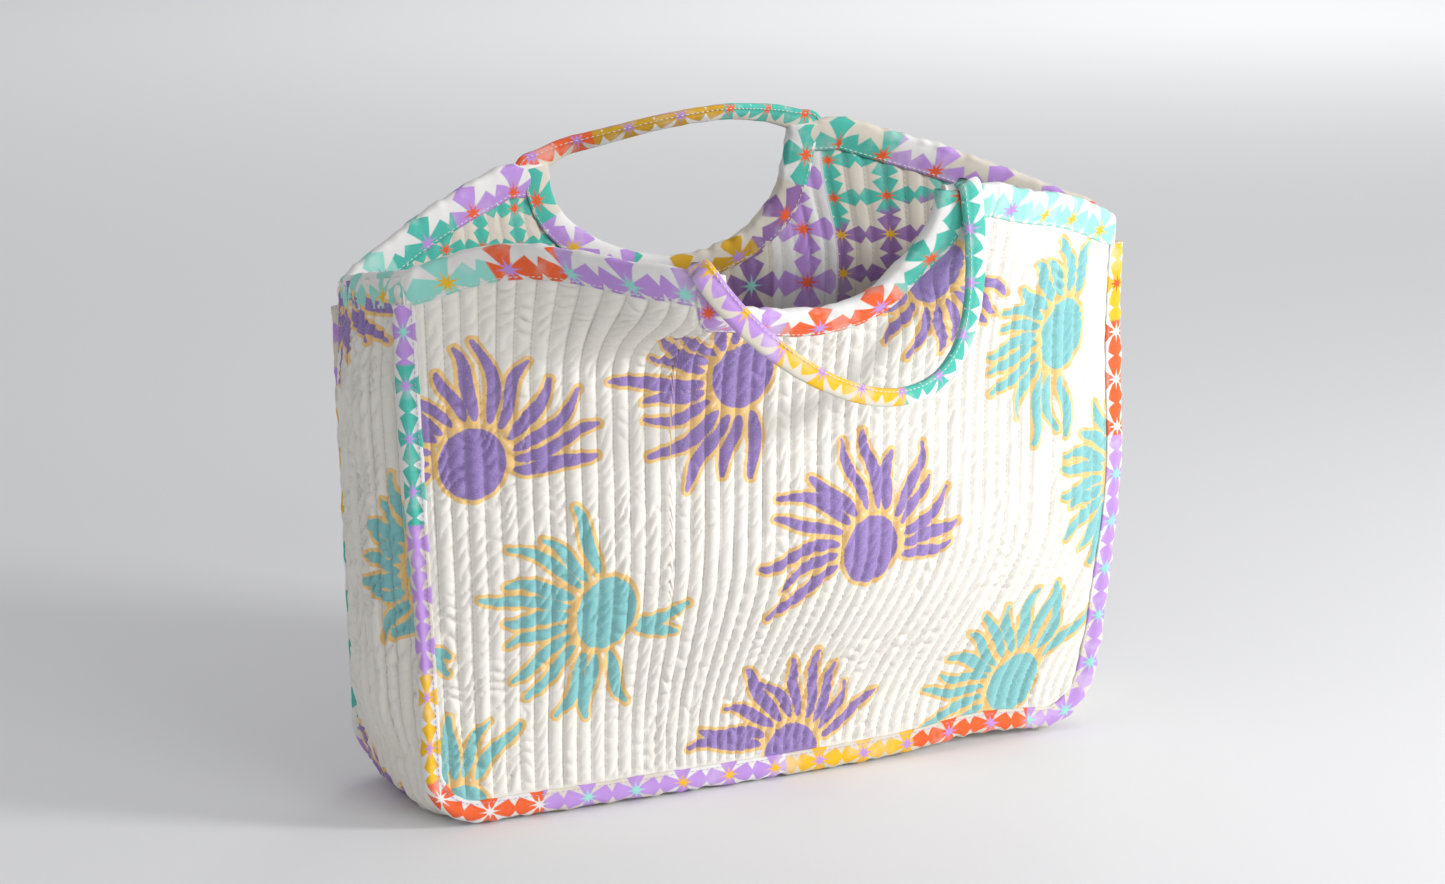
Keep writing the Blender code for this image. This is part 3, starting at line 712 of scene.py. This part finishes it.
def lining_print(across, height, back):
    """Tile places and colours of the pieced star print inside the bag."""
    band = back & (across > 0.056) & (across < 0.092)
    ear = (height > 0.281 + 0.40 * (across - 0.092)) & (across >= 0.092)
    ear = ear | ((height > 0.262) & (across < -0.05))
    middle = (across >= -0.05) & (across <= 0.056)
    tile = np.where(band | middle, LARGE_LINING_TILE, LINING_TILE)
    band, ear, middle = (mask.reshape(-1, 1) for mask in (band, ear, middle))
    fields = {"tile_u": (across - 0.059) / tile, "tile_v": height / tile}
    colours = {
        "petal": np.where(band, LILAC, np.where(ear, TEAL, DEEP_LILAC)),
        "ground": np.where(band, WHITE, CREAM),
        "star": np.where(band | ear, ORANGE, np.where(middle, PALE_TEAL, YELLOW)),
    }
    return fields, colours


# ---- Pieces ----


def on_bag(piece, slot="tape_print"):
    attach(piece, "bag")


def bag_piece(piece, slot, nodes):
    """Fixes a piece to the bag in place of some CAD nodes."""
    on_bag(piece, slot)
    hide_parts(*nodes)


def panel_grid(surface, towards, columns, rows, overlap, seed):
    """A grid over a panel: flat places, counts of channels and creases, and the outer face's normals."""
    across = np.linspace(-HALF_WIDTH - overlap, HALF_WIDTH + overlap, columns)[None, :]
    share = np.linspace(0.0, 1.0, rows)[:, None]
    flat = np.clip(across, -HALF_WIDTH, HALF_WIDTH)
    height = bottom_height(flat) + (top_height(flat) - bottom_height(flat)) * share
    across, height = np.broadcast_arrays(across, height)
    line = panel_line(across, height, seed)
    normals = surface_normal(surface, across, height, towards)
    return across, height, line, rope_count(line, height, seed), normals


def make_panel(side, surface, towards, bursts, quilt, lining, seed):
    """The quilted outer cloth of a panel, and its printed lining."""
    size = (QUILT_COLUMNS, QUILT_ROWS, QUILT_OVERLAP)
    across, height, line, rope, normals = panel_grid(surface, towards, *size, seed)
    inside = edge_distance(np.clip(across, -HALF_WIDTH, HALF_WIDTH), height)
    pressed = ease((inside - TAPE_WIDTH + 0.001) / 0.004)
    relief = PRESSED + (quilt_relief(line, height, rope, seed) - PRESSED) * pressed
    grid = surface(across, height) + normals * relief[..., None]
    burst, kind = burst_fields(across, height, bursts, seed)
    fields = {"line": line, "along": height, "rope": rope, "burst": burst, "turquoise": kind}
    piece = sheet_piece(f"{side}_quilt", grid, normals, quilt, fields)
    bag_piece(piece, "quilt_print", (f"{side}_panel_outer", f"{side}_panel_wadding"))

    size = (LINING_COLUMNS, LINING_ROWS, 0.0)
    across, height, line, rope, normals = panel_grid(surface, towards, *size, seed)
    relief = quilt_relief(line, height, rope, seed + 50)
    grid = surface(across, height) - normals * (SANDWICH + 0.5 * relief)[..., None]
    fields, colours = lining_print(across, height, towards > 0)
    fields.update({"line": line, "along": height, "rope": rope})
    piece = sheet_piece(f"{side}_lining", grid, -normals, lining, fields, colours)
    bag_piece(piece, "lining_print", (f"{side}_panel_lining",))


def make_gusset(quilt, lining):
    """The quilted gusset strip, channels running along it, and its printed lining."""
    grid, along, across, normals = gusset_grid(GUSSET_COLUMNS)
    wide = across[:, -1:]
    line = across / (wide / GUSSET_CHANNELS) + 0.10 * noise(along / 0.06, across / 0.03, 7)
    rope = rope_count(line, along, 77)
    relief = quilt_relief(line, along, rope, 77)
    outer = grid + normals * (GUSSET_PUFF * relief)[..., None]
    outer[..., 2] = np.maximum(outer[..., 2], FLOOR_GAP)
    middle = GUSSET_DEPTH / wide
    burst, kind = burst_fields(GUSSET_DEPTH - across * middle, along, flipped(GUSSET_BURSTS), 400)
    fields = {"line": line, "along": along, "rope": rope, "burst": burst, "turquoise": kind}
    piece = sheet_piece("gusset_quilt", outer, normals, quilt, fields)
    bag_piece(piece, "quilt_print", ("gusset_outer", "gusset_wadding"))

    fields = {"tile_u": across / LINING_TILE, "tile_v": along / LINING_TILE}
    fields.update({"line": line, "along": along, "rope": rope})
    plain = {"petal": DEEP_LILAC, "ground": CREAM, "star": YELLOW}
    colours = {name: np.broadcast_to(colour, (across.size, 3)) for name, colour in plain.items()}
    inner = grid - normals * (SANDWICH + 0.5 * relief)[..., None]
    piece = sheet_piece("gusset_lining_cloth", inner, -normals, lining, fields, colours)
    bag_piece(piece, "lining_print", ("gusset_lining",))


def flipped(spots):
    """The gusset's bursts with each fan mirrored, because the strip's distance runs down the left side."""
    return tuple((*spot[:5], -spot[6], -spot[5], *spot[7:]) for spot in spots)


def stitch_piece(name, points, normals, material, body_setup):
    """A row of short raised stitches along a line of points."""
    travel = travelled(points)
    rings = []
    faces = []
    angles = np.linspace(0.0, 2 * np.pi, STITCH_SIDES, endpoint=False)
    profile = ((0.0, 0.35), (0.2, 1.0), (0.8, 1.0), (1.0, 0.35))
    for stitch in range(int(travel[-1] / STITCH_PITCH)):
        start = (stitch + 0.2) * STITCH_PITCH
        middle = sampled(points, travel, [start + STITCH_LENGTH * share for share, _ in profile])
        up = sampled(normals, travel, [start])[0]
        up /= np.linalg.norm(up) + 1e-9
        ahead = middle[-1] - middle[0]
        ahead /= np.linalg.norm(ahead) + 1e-9
        side = np.cross(ahead, up)
        base = len(rings) * STITCH_SIDES
        for (_, wide), centre in zip(profile, middle):
            turn = np.cos(angles)[:, None] * side + np.sin(angles)[:, None] * up
            rings.append(centre + up * (0.5 * wide - 0.35) * STITCH_RADIUS + turn * STITCH_RADIUS * wide)
        for step in range(len(profile) - 1):
            for here in range(STITCH_SIDES):
                there = (here + 1) % STITCH_SIDES
                low = base + step * STITCH_SIDES
                high = low + STITCH_SIDES
                faces.append([low + here, low + there, high + there, high + here])
        last = base + (len(profile) - 1) * STITCH_SIDES
        faces.append([base + here for here in reversed(range(STITCH_SIDES))])
        faces.append([last + here for here in range(STITCH_SIDES)])
    piece = new_piece(name, np.concatenate(rings), faces, material)
    body_setup(piece)
    return piece


def tape_section(edge, deep, edge_normal, deep_normal, seed, lift=0.0):
    """Rings of a tape folded over a cut edge, the print's place across it, and distance along it."""
    up = edge - deep
    depth = np.linalg.norm(up, axis=1, keepdims=True)
    up = up / np.maximum(depth, 1e-6)
    legs = np.linspace(0.0, 1.0, TAPE_LEG_POINTS)
    puff = 0.0008 + 0.0012 * np.sin(np.pi * np.clip((legs - 0.12) / 1.1, 0.0, 1.0)) + lift
    arc = np.linspace(0.0, np.pi, TAPE_ARC_POINTS + 2)[1:-1]
    travel = travelled(edge)
    rings = []
    places = []
    far_side = SANDWICH + 0.0004

    def add(point, place, out, wrinkle):
        crimp = noise(travel / 0.0052 + place * 60.0, place / 0.012, seed + 5)
        crimp = crimp * (0.55 + 0.45 * noise(travel / 0.03, place / 0.05, seed + 6))
        rings.append(point + out * (wrinkle * crimp)[:, None])
        places.append(np.full(len(edge), place))

    for share, offset in zip(legs, puff):
        normal = deep_normal * (1 - share) + edge_normal * share
        amount = np.full(len(edge), 0.0013 * (0.2 + share))
        add(deep + (edge - deep) * share + normal * offset, (share - 1.0) * TAPE_WIDTH, normal, amount)
    half = (far_side + 2 * puff[-1]) / 2
    middle = edge - edge_normal * (far_side / 2)
    for angle in arc:
        out = edge_normal * np.cos(angle) + up * np.sin(angle)
        point = middle + edge_normal * half * np.cos(angle) + up * (half * 0.85) * np.sin(angle)
        add(point, half * angle, out, np.full(len(edge), 0.0014))
    for share, offset in zip(legs[::-1], puff[::-1]):
        normal = -(deep_normal * (1 - share) + edge_normal * share)
        point = deep + (edge - deep) * share + normal * (far_side + offset)
        add(point, half * np.pi + (1.0 - share) * TAPE_WIDTH, normal, np.full(len(edge), 0.0003))
    inner = (0.0, 0.5, 1.0)
    for share in inner:
        normal = -(deep_normal * (1 - share) + edge_normal * share)
        rings.append(deep + (edge - deep) * share + normal * (far_side + 0.0003 + lift))
        places.append(np.full(len(edge), half * np.pi + (1.0 - share) * TAPE_WIDTH))
    for share in inner[::-1]:
        normal = deep_normal * (1 - share) + edge_normal * share
        rings.append(deep + (edge - deep) * share + normal * (0.0003 + lift))
        places.append(np.full(len(edge), (share - 1.0) * TAPE_WIDTH))
    return np.stack(rings, axis=1), np.stack(places, axis=1), travel


def fold_line(rings):
    """Points and normals of the stitch lines near both lower edges of a folded tape."""
    stitched = rings[:, 1]
    outward = np.cross(np.gradient(stitched, axis=0), rings[:, 3] - rings[:, 0])
    outward /= np.linalg.norm(outward, axis=1, keepdims=True) + 1e-9
    reference = stitched - rings[:, -2]
    outward *= np.sign(np.sum(outward * reference, axis=1, keepdims=True))
    inside = rings[:, 2 * TAPE_LEG_POINTS + TAPE_ARC_POINTS - 2]
    return (stitched, outward), (inside, -outward)


def add_tape(name, node, rows, seed, zones, material, thread, lift=0.0):
    """A folded tape with its star print and two rows of topstitching, along rows of edge points."""
    rings, places, travel = tape_section(*rows, seed, lift)
    distance = np.broadcast_to(travel[:, None], places.shape)
    fields = {
        "tile_u": distance / TAPE_TILE,
        "tile_v": (places + TAPE_WIDTH * 0.62) / TAPE_TILE + 0.5,
    }
    piece = tube_piece(name, rings, material, fields, zone_colours(distance, zones))
    bag_piece(piece, "tape_print", (node,))
    outside, inside = fold_line(rings)
    for side, line in (("out", outside), ("in", inside)):
        stitch_piece(f"{name}_stitches_{side}", *line, thread, on_bag)


def edge_rows(surface, towards, across, height, directions, width):
    """Rows of a cut edge: its points, those width metres into the cloth, and the normals at both."""
    deep = across + directions[:, 0] * width, height + directions[:, 1] * width
    return [
        surface(across, height),
        surface(*deep),
        surface_normal(surface, across, height, towards),
        surface_normal(surface, *deep, towards),
    ]


def shoulder_rows(surface, towards, right, steps=170):
    """Edge rows of one shoulder, from the ear's inner corner out to the side."""
    travel = np.linspace(0.0, 1.0, steps)
    reach = EAR_INNER + (HALF_WIDTH - EAR_INNER) * travel
    across = reach if right else -reach
    height = np.where(reach < EAR_OUTER, EAR_HEIGHT, top_height(across))
    steep = ease((reach - EAR_OUTER + 0.006) / 0.012) * (1.0 - ease((reach - HALF_WIDTH + 0.010) / 0.010))
    slope = np.arctan2(EAR_HEIGHT - SIDE_HEIGHT, HALF_WIDTH - EAR_OUTER) * steep
    sign = 1.0 if right else -1.0
    directions = np.stack([-sign * np.sin(slope), -np.cos(slope)], axis=1)
    return edge_rows(surface, towards, across, height, directions, TAPE_WIDTH)


def gusset_top_rows(right):
    """Edge rows across the gusset's top, from the front panel to the back one."""
    grid, _, _, normals = gusset_grid(GUSSET_TOP_COLUMNS)
    edge, deep = (-1, -8) if right else (0, 7)
    inward = grid[deep] - grid[edge]
    inward *= TAPE_WIDTH / np.linalg.norm(inward, axis=1, keepdims=True)
    keep = slice(3, -3)
    return grid[edge][keep], (grid[edge] + inward)[keep], normals[edge][keep], normals[deep][keep]


def smooth_rows(rows, width):
    """Evens out rows of points with a moving average, leaving their ends in place."""
    kernel = np.hanning(width + 2)[1:-1]
    kernel /= kernel.sum()
    pad = width // 2
    padded = np.concatenate([np.repeat(rows[:1], pad, axis=0), rows, np.repeat(rows[-1:], pad, axis=0)])
    return np.stack([np.convolve(padded[:, axis], kernel, mode="valid") for axis in range(3)], axis=1)


def make_mouth_tape(right, zones, material, thread):
    """One tape from the front ear, down its shoulder, over the gusset and up to the back ear."""
    side = "right" if right else "left"
    front = shoulder_rows(front_surface, -1.0, right)
    back = shoulder_rows(back_surface, 1.0, right)
    rows = [np.concatenate([a, b, c[::-1]]) for a, b, c in zip(front, gusset_top_rows(right), back)]
    travel = travelled(rows[0])
    even = np.arange(0.0, travel[-1], TAPE_STEP)
    edge, deep, *normals = (smooth_rows(sampled(row, travel, even), 9) for row in rows)
    rows = (edge, deep, *(unit(row) for row in normals))
    seed = 11 if right else 12
    add_tape(f"{side}_mouth_binding", f"{side}_mouth_tape", rows, seed, zones, material, thread)


def make_scoop_tape(side, surface, towards, zones, material, thread):
    """The tape round the scoop between a panel's ears; it laps over the shoulder tapes at its ends."""
    turn = np.linspace(-90.0, 90.0, 260)
    angle = np.radians(turn)
    across = EAR_INNER * np.sin(angle)
    height = EAR_HEIGHT - (EAR_HEIGHT - SCOOP_HEIGHT) * np.cos(angle)
    tangent = unit(np.stack([np.gradient(across), np.gradient(height)], axis=1))
    directions = np.stack([tangent[:, 1], -tangent[:, 0]], axis=1)
    rows = edge_rows(surface, towards, across, height, directions, SCOOP_TAPE_WIDTH)
    travel = travelled(rows[0])
    even = np.linspace(0.0, travel[-1], int(travel[-1] / TAPE_STEP))
    rows = [sampled(row, travel, even) for row in rows]
    seed = 21 if towards < 0 else 22
    name, node = f"{side}_scoop_binding", f"{side}_scoop_tape"
    add_tape(name, node, rows, seed, zones, material, thread, 0.0006)


# Section of the seam tape: places out from the seam and off the cloth, in metres, and the stitched one.
SEAM_SECTION = (
    (-0.0042, 0.0018), (-0.0036, 0.0026), (-0.0022, 0.0024), (-0.0006, 0.0021), (0.0012, 0.0026),
    (0.0032, 0.0034), (0.0054, 0.0036), (0.0076, 0.0031), (0.0094, 0.0022), (0.0106, 0.0009),
    (0.0108, -0.0006), (0.0100, -0.0020), (0.0082, -0.0031), (0.0060, -0.0037), (0.0036, -0.0036),
    (0.0014, -0.0028), (0.0000, -0.0020), (-0.0010, -0.0004),
)
SEAM_STITCH = 2


def make_seam_tape(side, surface, towards, zones, material, thread):
    """The padded tape on a panel's seam, down one side, along the bottom and up the other."""
    places, outward, travel = seam_path(0.00135)
    top = SIDE_HEIGHT - TAPE_WIDTH + 0.002
    keep = places[:, 1] < top
    places, outward, travel = places[keep], outward[keep], travel[keep]
    across, height = places.T
    edge = surface(across, height)
    normal = surface_normal(surface, across, height, towards)
    out = unit(edge - surface(across - outward[:, 0] * 0.003, height - outward[:, 1] * 0.003))
    fold = (BACK_TAPE_FOLD * (towards > 0) * ease(-outward[:, 0]))[:, None]
    cos, sin = np.cos(fold), np.sin(fold)
    out, normal = out * cos + normal * sin, normal * cos - out * sin
    centre = edge - normal * 0.0012
    left = np.clip(-outward[:, 0], 0.0, 1.0)
    narrow = 0.84 + 0.16 * np.clip(outward[:, 0], 0.0, 1.0) - left * (0.10 + 0.22 * hump(height, 0.08, 0.08))
    rings = []
    for reach, lift in SEAM_SECTION:
        gather = noise(travel / 0.0048 + reach * 90.0, reach / 0.006, 31 if towards < 0 else 32)
        ripple = (1.0 + 0.10 * gather) * np.where(reach > 0.0, narrow, 1.0)
        bulge = lift + np.sign(lift) * (0.00035 * gather)
        rings.append(centre + out * (reach * ripple)[:, None] + normal * bulge[:, None])
    rings = np.stack(rings, axis=1)
    rings[..., 2] = np.maximum(rings[..., 2], 0.0003)
    around = travelled(np.array(SEAM_SECTION))
    distance = np.broadcast_to((travel - travel[0])[:, None], rings.shape[:2])
    fields = {
        "tile_u": distance / SEAM_TILE,
        "tile_v": np.broadcast_to((around - 0.0085) / SEAM_TILE + 0.5, distance.shape),
    }
    piece = tube_piece(f"{side}_seam_binding", rings, material, fields, zone_colours(distance, zones))
    bag_piece(piece, "tape_print", [f"{side}_seam_tape_{part}" for part in ("left", "bottom", "right")])
    stitch_piece(f"{side}_seam_stitches", rings[:, SEAM_STITCH] - normal * 0.0001, normal, thread, on_bag)


def strap_root(surface, towards, across, above):
    """A handle's root, the normal of the ear's face there, the top of the ear's edge, and the way up it."""
    peak = surface(across, EAR_HEIGHT)
    below = surface(across, EAR_HEIGHT - 0.01)
    up = (peak - below) / np.linalg.norm(peak - below)
    normal = surface_normal(surface, np.float64(across), np.float64(EAR_HEIGHT), towards)
    return peak + normal * STRAP_FORWARD + up * above, normal, peak, up


def strap_frame(surface, towards, above, away):
    """A handle's left and right roots, the unit chord between them, and away squared up to the chord."""
    left = strap_root(surface, towards, -STRAP_ROOT, above)
    right = strap_root(surface, towards, STRAP_ROOT, above)
    chord = (right[0] - left[0]) / np.linalg.norm(right[0] - left[0])
    away = away - chord * (away @ chord)
    return left, right, chord, away / np.linalg.norm(away)


def bezier(points, share):
    rest = 1.0 - share
    first, second, third, fourth = points
    return rest**3 * first + 3 * rest**2 * share * second + 3 * rest * share**2 * third + share**3 * fourth


def front_strap_path(steps):
    """The front handle's path and faces, its roots, and the way it hangs from them."""
    hang = np.array([0.0, FRONT_STRAP_TUCK, -1.0])
    left_root, right_root, chord, down = strap_frame(front_surface, -1.0, FRONT_STRAP_ABOVE, hang)
    left, left_normal, left_peak, left_up = left_root
    right, right_normal, right_peak, right_up = right_root
    first, second = [chord * along + down * drop for along, drop in FRONT_STRAP_BENDS]
    first = left + first - left_normal * (first @ left_normal)
    second = right + second - right_normal * (second @ right_normal)
    share = np.linspace(0.0, 1.0, steps)[:, None]
    path = bezier((left, first, second, right), share)
    faces = left_normal * ease(1.0 - share * 4) + right_normal * ease(share * 4 - 3.0)
    faces = faces + np.cross(down, chord) * (1.0 - ease(1.0 - share * 4) - ease(share * 4 - 3.0))
    lead = [
        left_peak - left_normal * 0.0024 - left_up * 0.006,
        left_peak - left_normal * 0.0016 + left_up * 0.0035,
    ]
    tail = [
        right_peak - right_normal * 0.0016 + right_up * 0.0035,
        right_peak - right_normal * 0.0024 - right_up * 0.006,
    ]
    return join_path(lead, path, tail, faces, (left_normal, right_normal)), (left, right), down


def back_strap_path(steps):
    """The back handle's path and faces, its roots, and the way it stands up from them."""
    stand = np.array([0.0, -np.sin(BACK_HANDLE_LEAN), np.cos(BACK_HANDLE_LEAN)])
    left_root, right_root, chord, rise = strap_frame(back_surface, 1.0, BACK_STRAP_ABOVE, stand)
    left, left_normal, left_peak, left_up = left_root
    right, right_normal, right_peak, right_up = right_root
    share = np.linspace(0.0, 1.0, steps)[:, None]
    height = BACK_HANDLE_RISE * ease(share / 0.55) * (1.0 - ease((share - 0.60) / 0.40))
    path = left + (right - left) * share + rise * height
    ends = ease(1.0 - share * 6), ease(share * 6 - 5.0)
    path = path - (left_normal * ends[0] + right_normal * ends[1]) * (STRAP_FORWARD + 0.0022)
    path = path - (left_up * ends[0] + right_up * ends[1]) * (BACK_STRAP_ABOVE - 0.002)
    faces = BACK_STRAP_FACE * (1.0 - ends[0] - ends[1]) - left_normal * ends[0] - right_normal * ends[1]
    lead = [left_peak - left_normal * 0.0022 - left_up * 0.010 + chord * -0.002]
    tail = [right_peak - right_normal * 0.0022 - right_up * 0.010 + chord * 0.002]
    return join_path(lead, path, tail, faces, (-left_normal, -right_normal)), (left, right), rise


def join_path(lead, path, tail, faces, normals):
    """One evenly spaced, smoothed path with face normals, from the tucked-in ends and the free part."""
    points = np.concatenate([lead, path, tail])
    looks = np.concatenate([[normals[0]] * len(lead), faces, [normals[1]] * len(tail)])
    travel = travelled(points)
    even = np.linspace(0.0, travel[-1], int(travel[-1] / 0.0011))
    looks = smooth_rows(sampled(looks, travel, even), 15)
    return smooth_rows(sampled(points, travel, even), 9), unit(looks)


def make_handle(side, built, zones, material, thread):
    """A stuffed strap of folded star-print tape, with the fold's lip and topstitching along one edge."""
    (path, looks), (left, right), away = built
    tangents = unit(np.gradient(path, axis=0))
    sideways = unit(np.cross(tangents, looks))
    normals = np.cross(sideways, tangents)
    travel = travelled(path)
    angles = np.linspace(0.0, 2 * np.pi, 36, endpoint=False)
    squeezed = 1.0 - STRAP_SQUEEZE * np.sin(np.pi * travel / travel[-1]) ** 2
    seed = 41 if side == "front" else 42
    rings = []
    for angle in angles:
        wide = np.sign(np.cos(angle)) * np.abs(np.cos(angle)) ** 0.75 * STRAP_WIDTH / 2
        thick = np.sign(np.sin(angle)) * np.abs(np.sin(angle)) ** 0.62 * STRAP_THICKNESS / 2
        groove = 0.0006 * hump(wide, -0.0032, 0.0007) * (np.sin(angle) > 0)
        crimp = 0.00030 * noise(travel / 0.0055 + wide * 150.0, wide / 0.004, seed)
        lift = thick - groove * np.sign(thick) + crimp * np.sign(np.sin(angle))
        rings.append(path + sideways * (wide * (squeezed + 18.0 * crimp))[:, None] + normals * lift[:, None])
    rings = np.stack(rings, axis=1)
    around = STRAP_WIDTH / 2 * np.cos(angles)
    distance = np.broadcast_to(travel[:, None], rings.shape[:2])
    back_face = np.where(np.sin(angles) < 0, 0.35, 0.0)
    fields = {
        "tile_u": distance / STRAP_TILE + back_face,
        "tile_v": np.broadcast_to((around + 0.004) / STRAP_TILE + 0.5, distance.shape),
    }
    colours = zone_colours(distance / travel[-1], zones)
    piece = tube_piece(f"{side}_handle_strap", rings, material, fields, colours)
    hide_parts(f"{side}_handle_cover", f"{side}_handle_core")
    middle = (left + right) / 2
    start = tuple(middle - away * 0.002)
    end = tuple(middle + away * 0.016)
    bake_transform(piece)

    def on_handle(stitches):
        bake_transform(stitches)

    lip = path - sideways * (STRAP_WIDTH * 0.36 * squeezed)[:, None]
    lip = lip + normals * (STRAP_THICKNESS / 2 - 0.00035)
    stitch_piece(f"{side}_handle_stitches", lip, normals, thread, on_handle)


# Coloured sections along each tape: start, petal, ground and star. Starts are metres along the tape, and
# shares of its length on the handles.

FRONT_SEAM_ZONES = (
    (0.000, LILAC, WHITE, PALE_TEAL),
    (0.032, TEAL, WHITE, LILAC),
    (0.118, LILAC, CREAM, LILAC),
    (0.200, YELLOW, WHITE, LILAC),
    (0.262, ORANGE, WHITE, WHITE),
    (0.330, LILAC, CREAM, PALE_TEAL),
    (0.405, LILAC, WHITE, YELLOW),
    (0.478, YELLOW, CREAM, LILAC),
    (0.560, ORANGE, CREAM, LILAC),
    (0.640, LILAC, CREAM, PALE_TEAL),
    (0.735, LILAC, WHITE, PALE_TEAL),
    (0.835, ORANGE, WHITE, WHITE),
    (0.905, YELLOW, WHITE, ORANGE),
)
BACK_SEAM_ZONES = (
    (0.000, LILAC, CREAM, YELLOW),
    (0.060, YELLOW, WHITE, LILAC),
    (0.150, TEAL, WHITE, ORANGE),
    (0.260, LILAC, WHITE, TEAL),
    (0.430, YELLOW, CREAM, LILAC),
    (0.560, TEAL, WHITE, LILAC),
    (0.700, LILAC, WHITE, PALE_TEAL),
    (0.820, ORANGE, WHITE, LILAC),
)
LEFT_MOUTH_ZONES = (
    (0.000, LILAC, WHITE, PALE_TEAL),
    (0.088, ORANGE, WHITE, LILAC),
    (0.128, PALE_TEAL, WHITE, YELLOW),
    (0.215, PALE_TEAL, WHITE, DEEP_LILAC),
    (0.300, TEAL, WHITE, LILAC),
    (0.345, LILAC, WHITE, ORANGE),
)
RIGHT_MOUTH_ZONES = (
    (0.000, PALE_TEAL, WHITE, LILAC),
    (0.075, PALE_TEAL, WHITE, YELLOW),
    (0.205, ORANGE, CREAM, LILAC),
    (0.235, LILAC, CREAM, PALE_TEAL),
    (0.318, LILAC, WHITE, ORANGE),
    (0.352, TEAL, CREAM, ORANGE),
)
FRONT_SCOOP_ZONES = (
    (0.000, LILAC, WHITE, ORANGE),
    (0.098, ORANGE, WHITE, LILAC),
    (0.166, TEAL, WHITE, ORANGE),
)
BACK_SCOOP_ZONES = (
    (0.000, TEAL, CREAM, ORANGE),
    (0.030, LILAC, WHITE, YELLOW),
    (0.088, TEAL, WHITE, ORANGE),
    (0.112, OCHRE, CREAM, LILAC),
    (0.165, DEEP_LILAC, CREAM, ORANGE),
    (0.205, TEAL, WHITE, ORANGE),
)
FRONT_HANDLE_ZONES = (
    (0.00, LILAC, CREAM, YELLOW),
    (0.24, YELLOW, CREAM, LILAC),
    (0.52, TEAL, WHITE, LILAC),
)
BACK_HANDLE_ZONES = (
    (0.00, ORANGE, CREAM, LILAC),
    (0.26, OCHRE, WHITE, LILAC),
    (0.62, TEAL, CREAM, ORANGE),
)


def build_bag():
    quilt = make_quilt_material()
    lining = make_star_material("lining_print", patchy=0.2, quilted=True)
    tape = make_star_material("tape_print")
    strap = make_star_material("strap_print")
    thread = make_thread_material("thread", THREAD)
    lilac_thread = make_thread_material("lilac_thread", LILAC_THREAD)
    make_panel("front", front_surface, -1.0, FRONT_BURSTS, quilt, lining, 101)
    make_panel("back", back_surface, 1.0, BACK_BURSTS, quilt, lining, 202)
    make_gusset(quilt, lining)
    make_mouth_tape(False, LEFT_MOUTH_ZONES, tape, thread)
    make_mouth_tape(True, RIGHT_MOUTH_ZONES, tape, thread)
    make_scoop_tape("front", front_surface, -1.0, FRONT_SCOOP_ZONES, tape, thread)
    make_scoop_tape("back", back_surface, 1.0, BACK_SCOOP_ZONES, tape, thread)
    make_seam_tape("front", front_surface, -1.0, FRONT_SEAM_ZONES, tape, lilac_thread)
    make_seam_tape("back", back_surface, 1.0, BACK_SEAM_ZONES, tape, lilac_thread)
    make_handle("front", front_strap_path(200), FRONT_HANDLE_ZONES, strap, thread)
    make_handle("back", back_strap_path(160), BACK_HANDLE_ZONES, strap, thread)


# ---- The studio ----

CAMERA_PLACE = (-0.7057, -1.4607, 0.5765)
CAMERA_TARGET = (-0.009, 0.0, 0.185)
FOCAL_PIXELS = 2924.0
IMAGE_WIDTH = 1445.0
SENSOR_WIDTH = 36.0


def place_aimed(name, data, place, target):
    """A camera or light at a place, looking at a target."""
    thing = bpy.data.objects.new(name, data)
    thing.location = place
    look = Vector(target) - Vector(place)
    thing.rotation_euler = look.to_track_quat("-Z", "Y").to_euler()
    bpy.context.scene.collection.objects.link(thing)
    return thing


def make_camera():
    data = bpy.data.cameras.new("camera")
    data.sensor_width = SENSOR_WIDTH
    data.lens = FOCAL_PIXELS / IMAGE_WIDTH * SENSOR_WIDTH
    bpy.context.scene.camera = place_aimed("camera", data, CAMERA_PLACE, CAMERA_TARGET)


def add_light(name, place, target, size, energy):
    data = bpy.data.lights.new(name, "AREA")
    data.shape = "DISK"
    data.size = size
    data.energy = energy
    place_aimed(name, data, place, target)


def make_floor():
    size = 12.0
    corners = np.array([(-size, -size, 0.0), (size, -size, 0.0), (size, size, 0.0), (-size, size, 0.0)])
    material = bpy.data.materials.new("floor")
    material.use_nodes = True
    shader = material.node_tree.nodes["Principled BSDF"]
    shader.inputs["Base Color"].default_value = (0.80, 0.80, 0.81, 1.0)
    shader.inputs["Roughness"].default_value = 0.9
    shader.inputs["Specular IOR Level"].default_value = 0.1
    floor = new_piece("floor", corners, [[0, 1, 2, 3]], material)


def make_studio():
    make_camera()
    make_floor()
    add_light("key", (1.50, -1.20, 0.74), (0.0, 0.0, 0.18), 0.45, 29.0)
    add_light("front", (0.9, -2.8, 1.1), (0.0, 0.0, 0.15), 1.6, 22.0)
    add_light("backdrop", (3.2, 3.6, 2.4), (1.9, 4.6, 0.0), 2.5, 52.0)
    world = bpy.data.worlds.new("studio")
    world.use_nodes = True
    background = world.node_tree.nodes["Background"]
    background.inputs["Color"].default_value = (0.97, 0.975, 1.0, 1.0)
    background.inputs["Strength"].default_value = 0.55
    bpy.context.scene.world = world
    bpy.context.scene.view_settings.view_transform = "Standard"


build_bag()
make_studio()
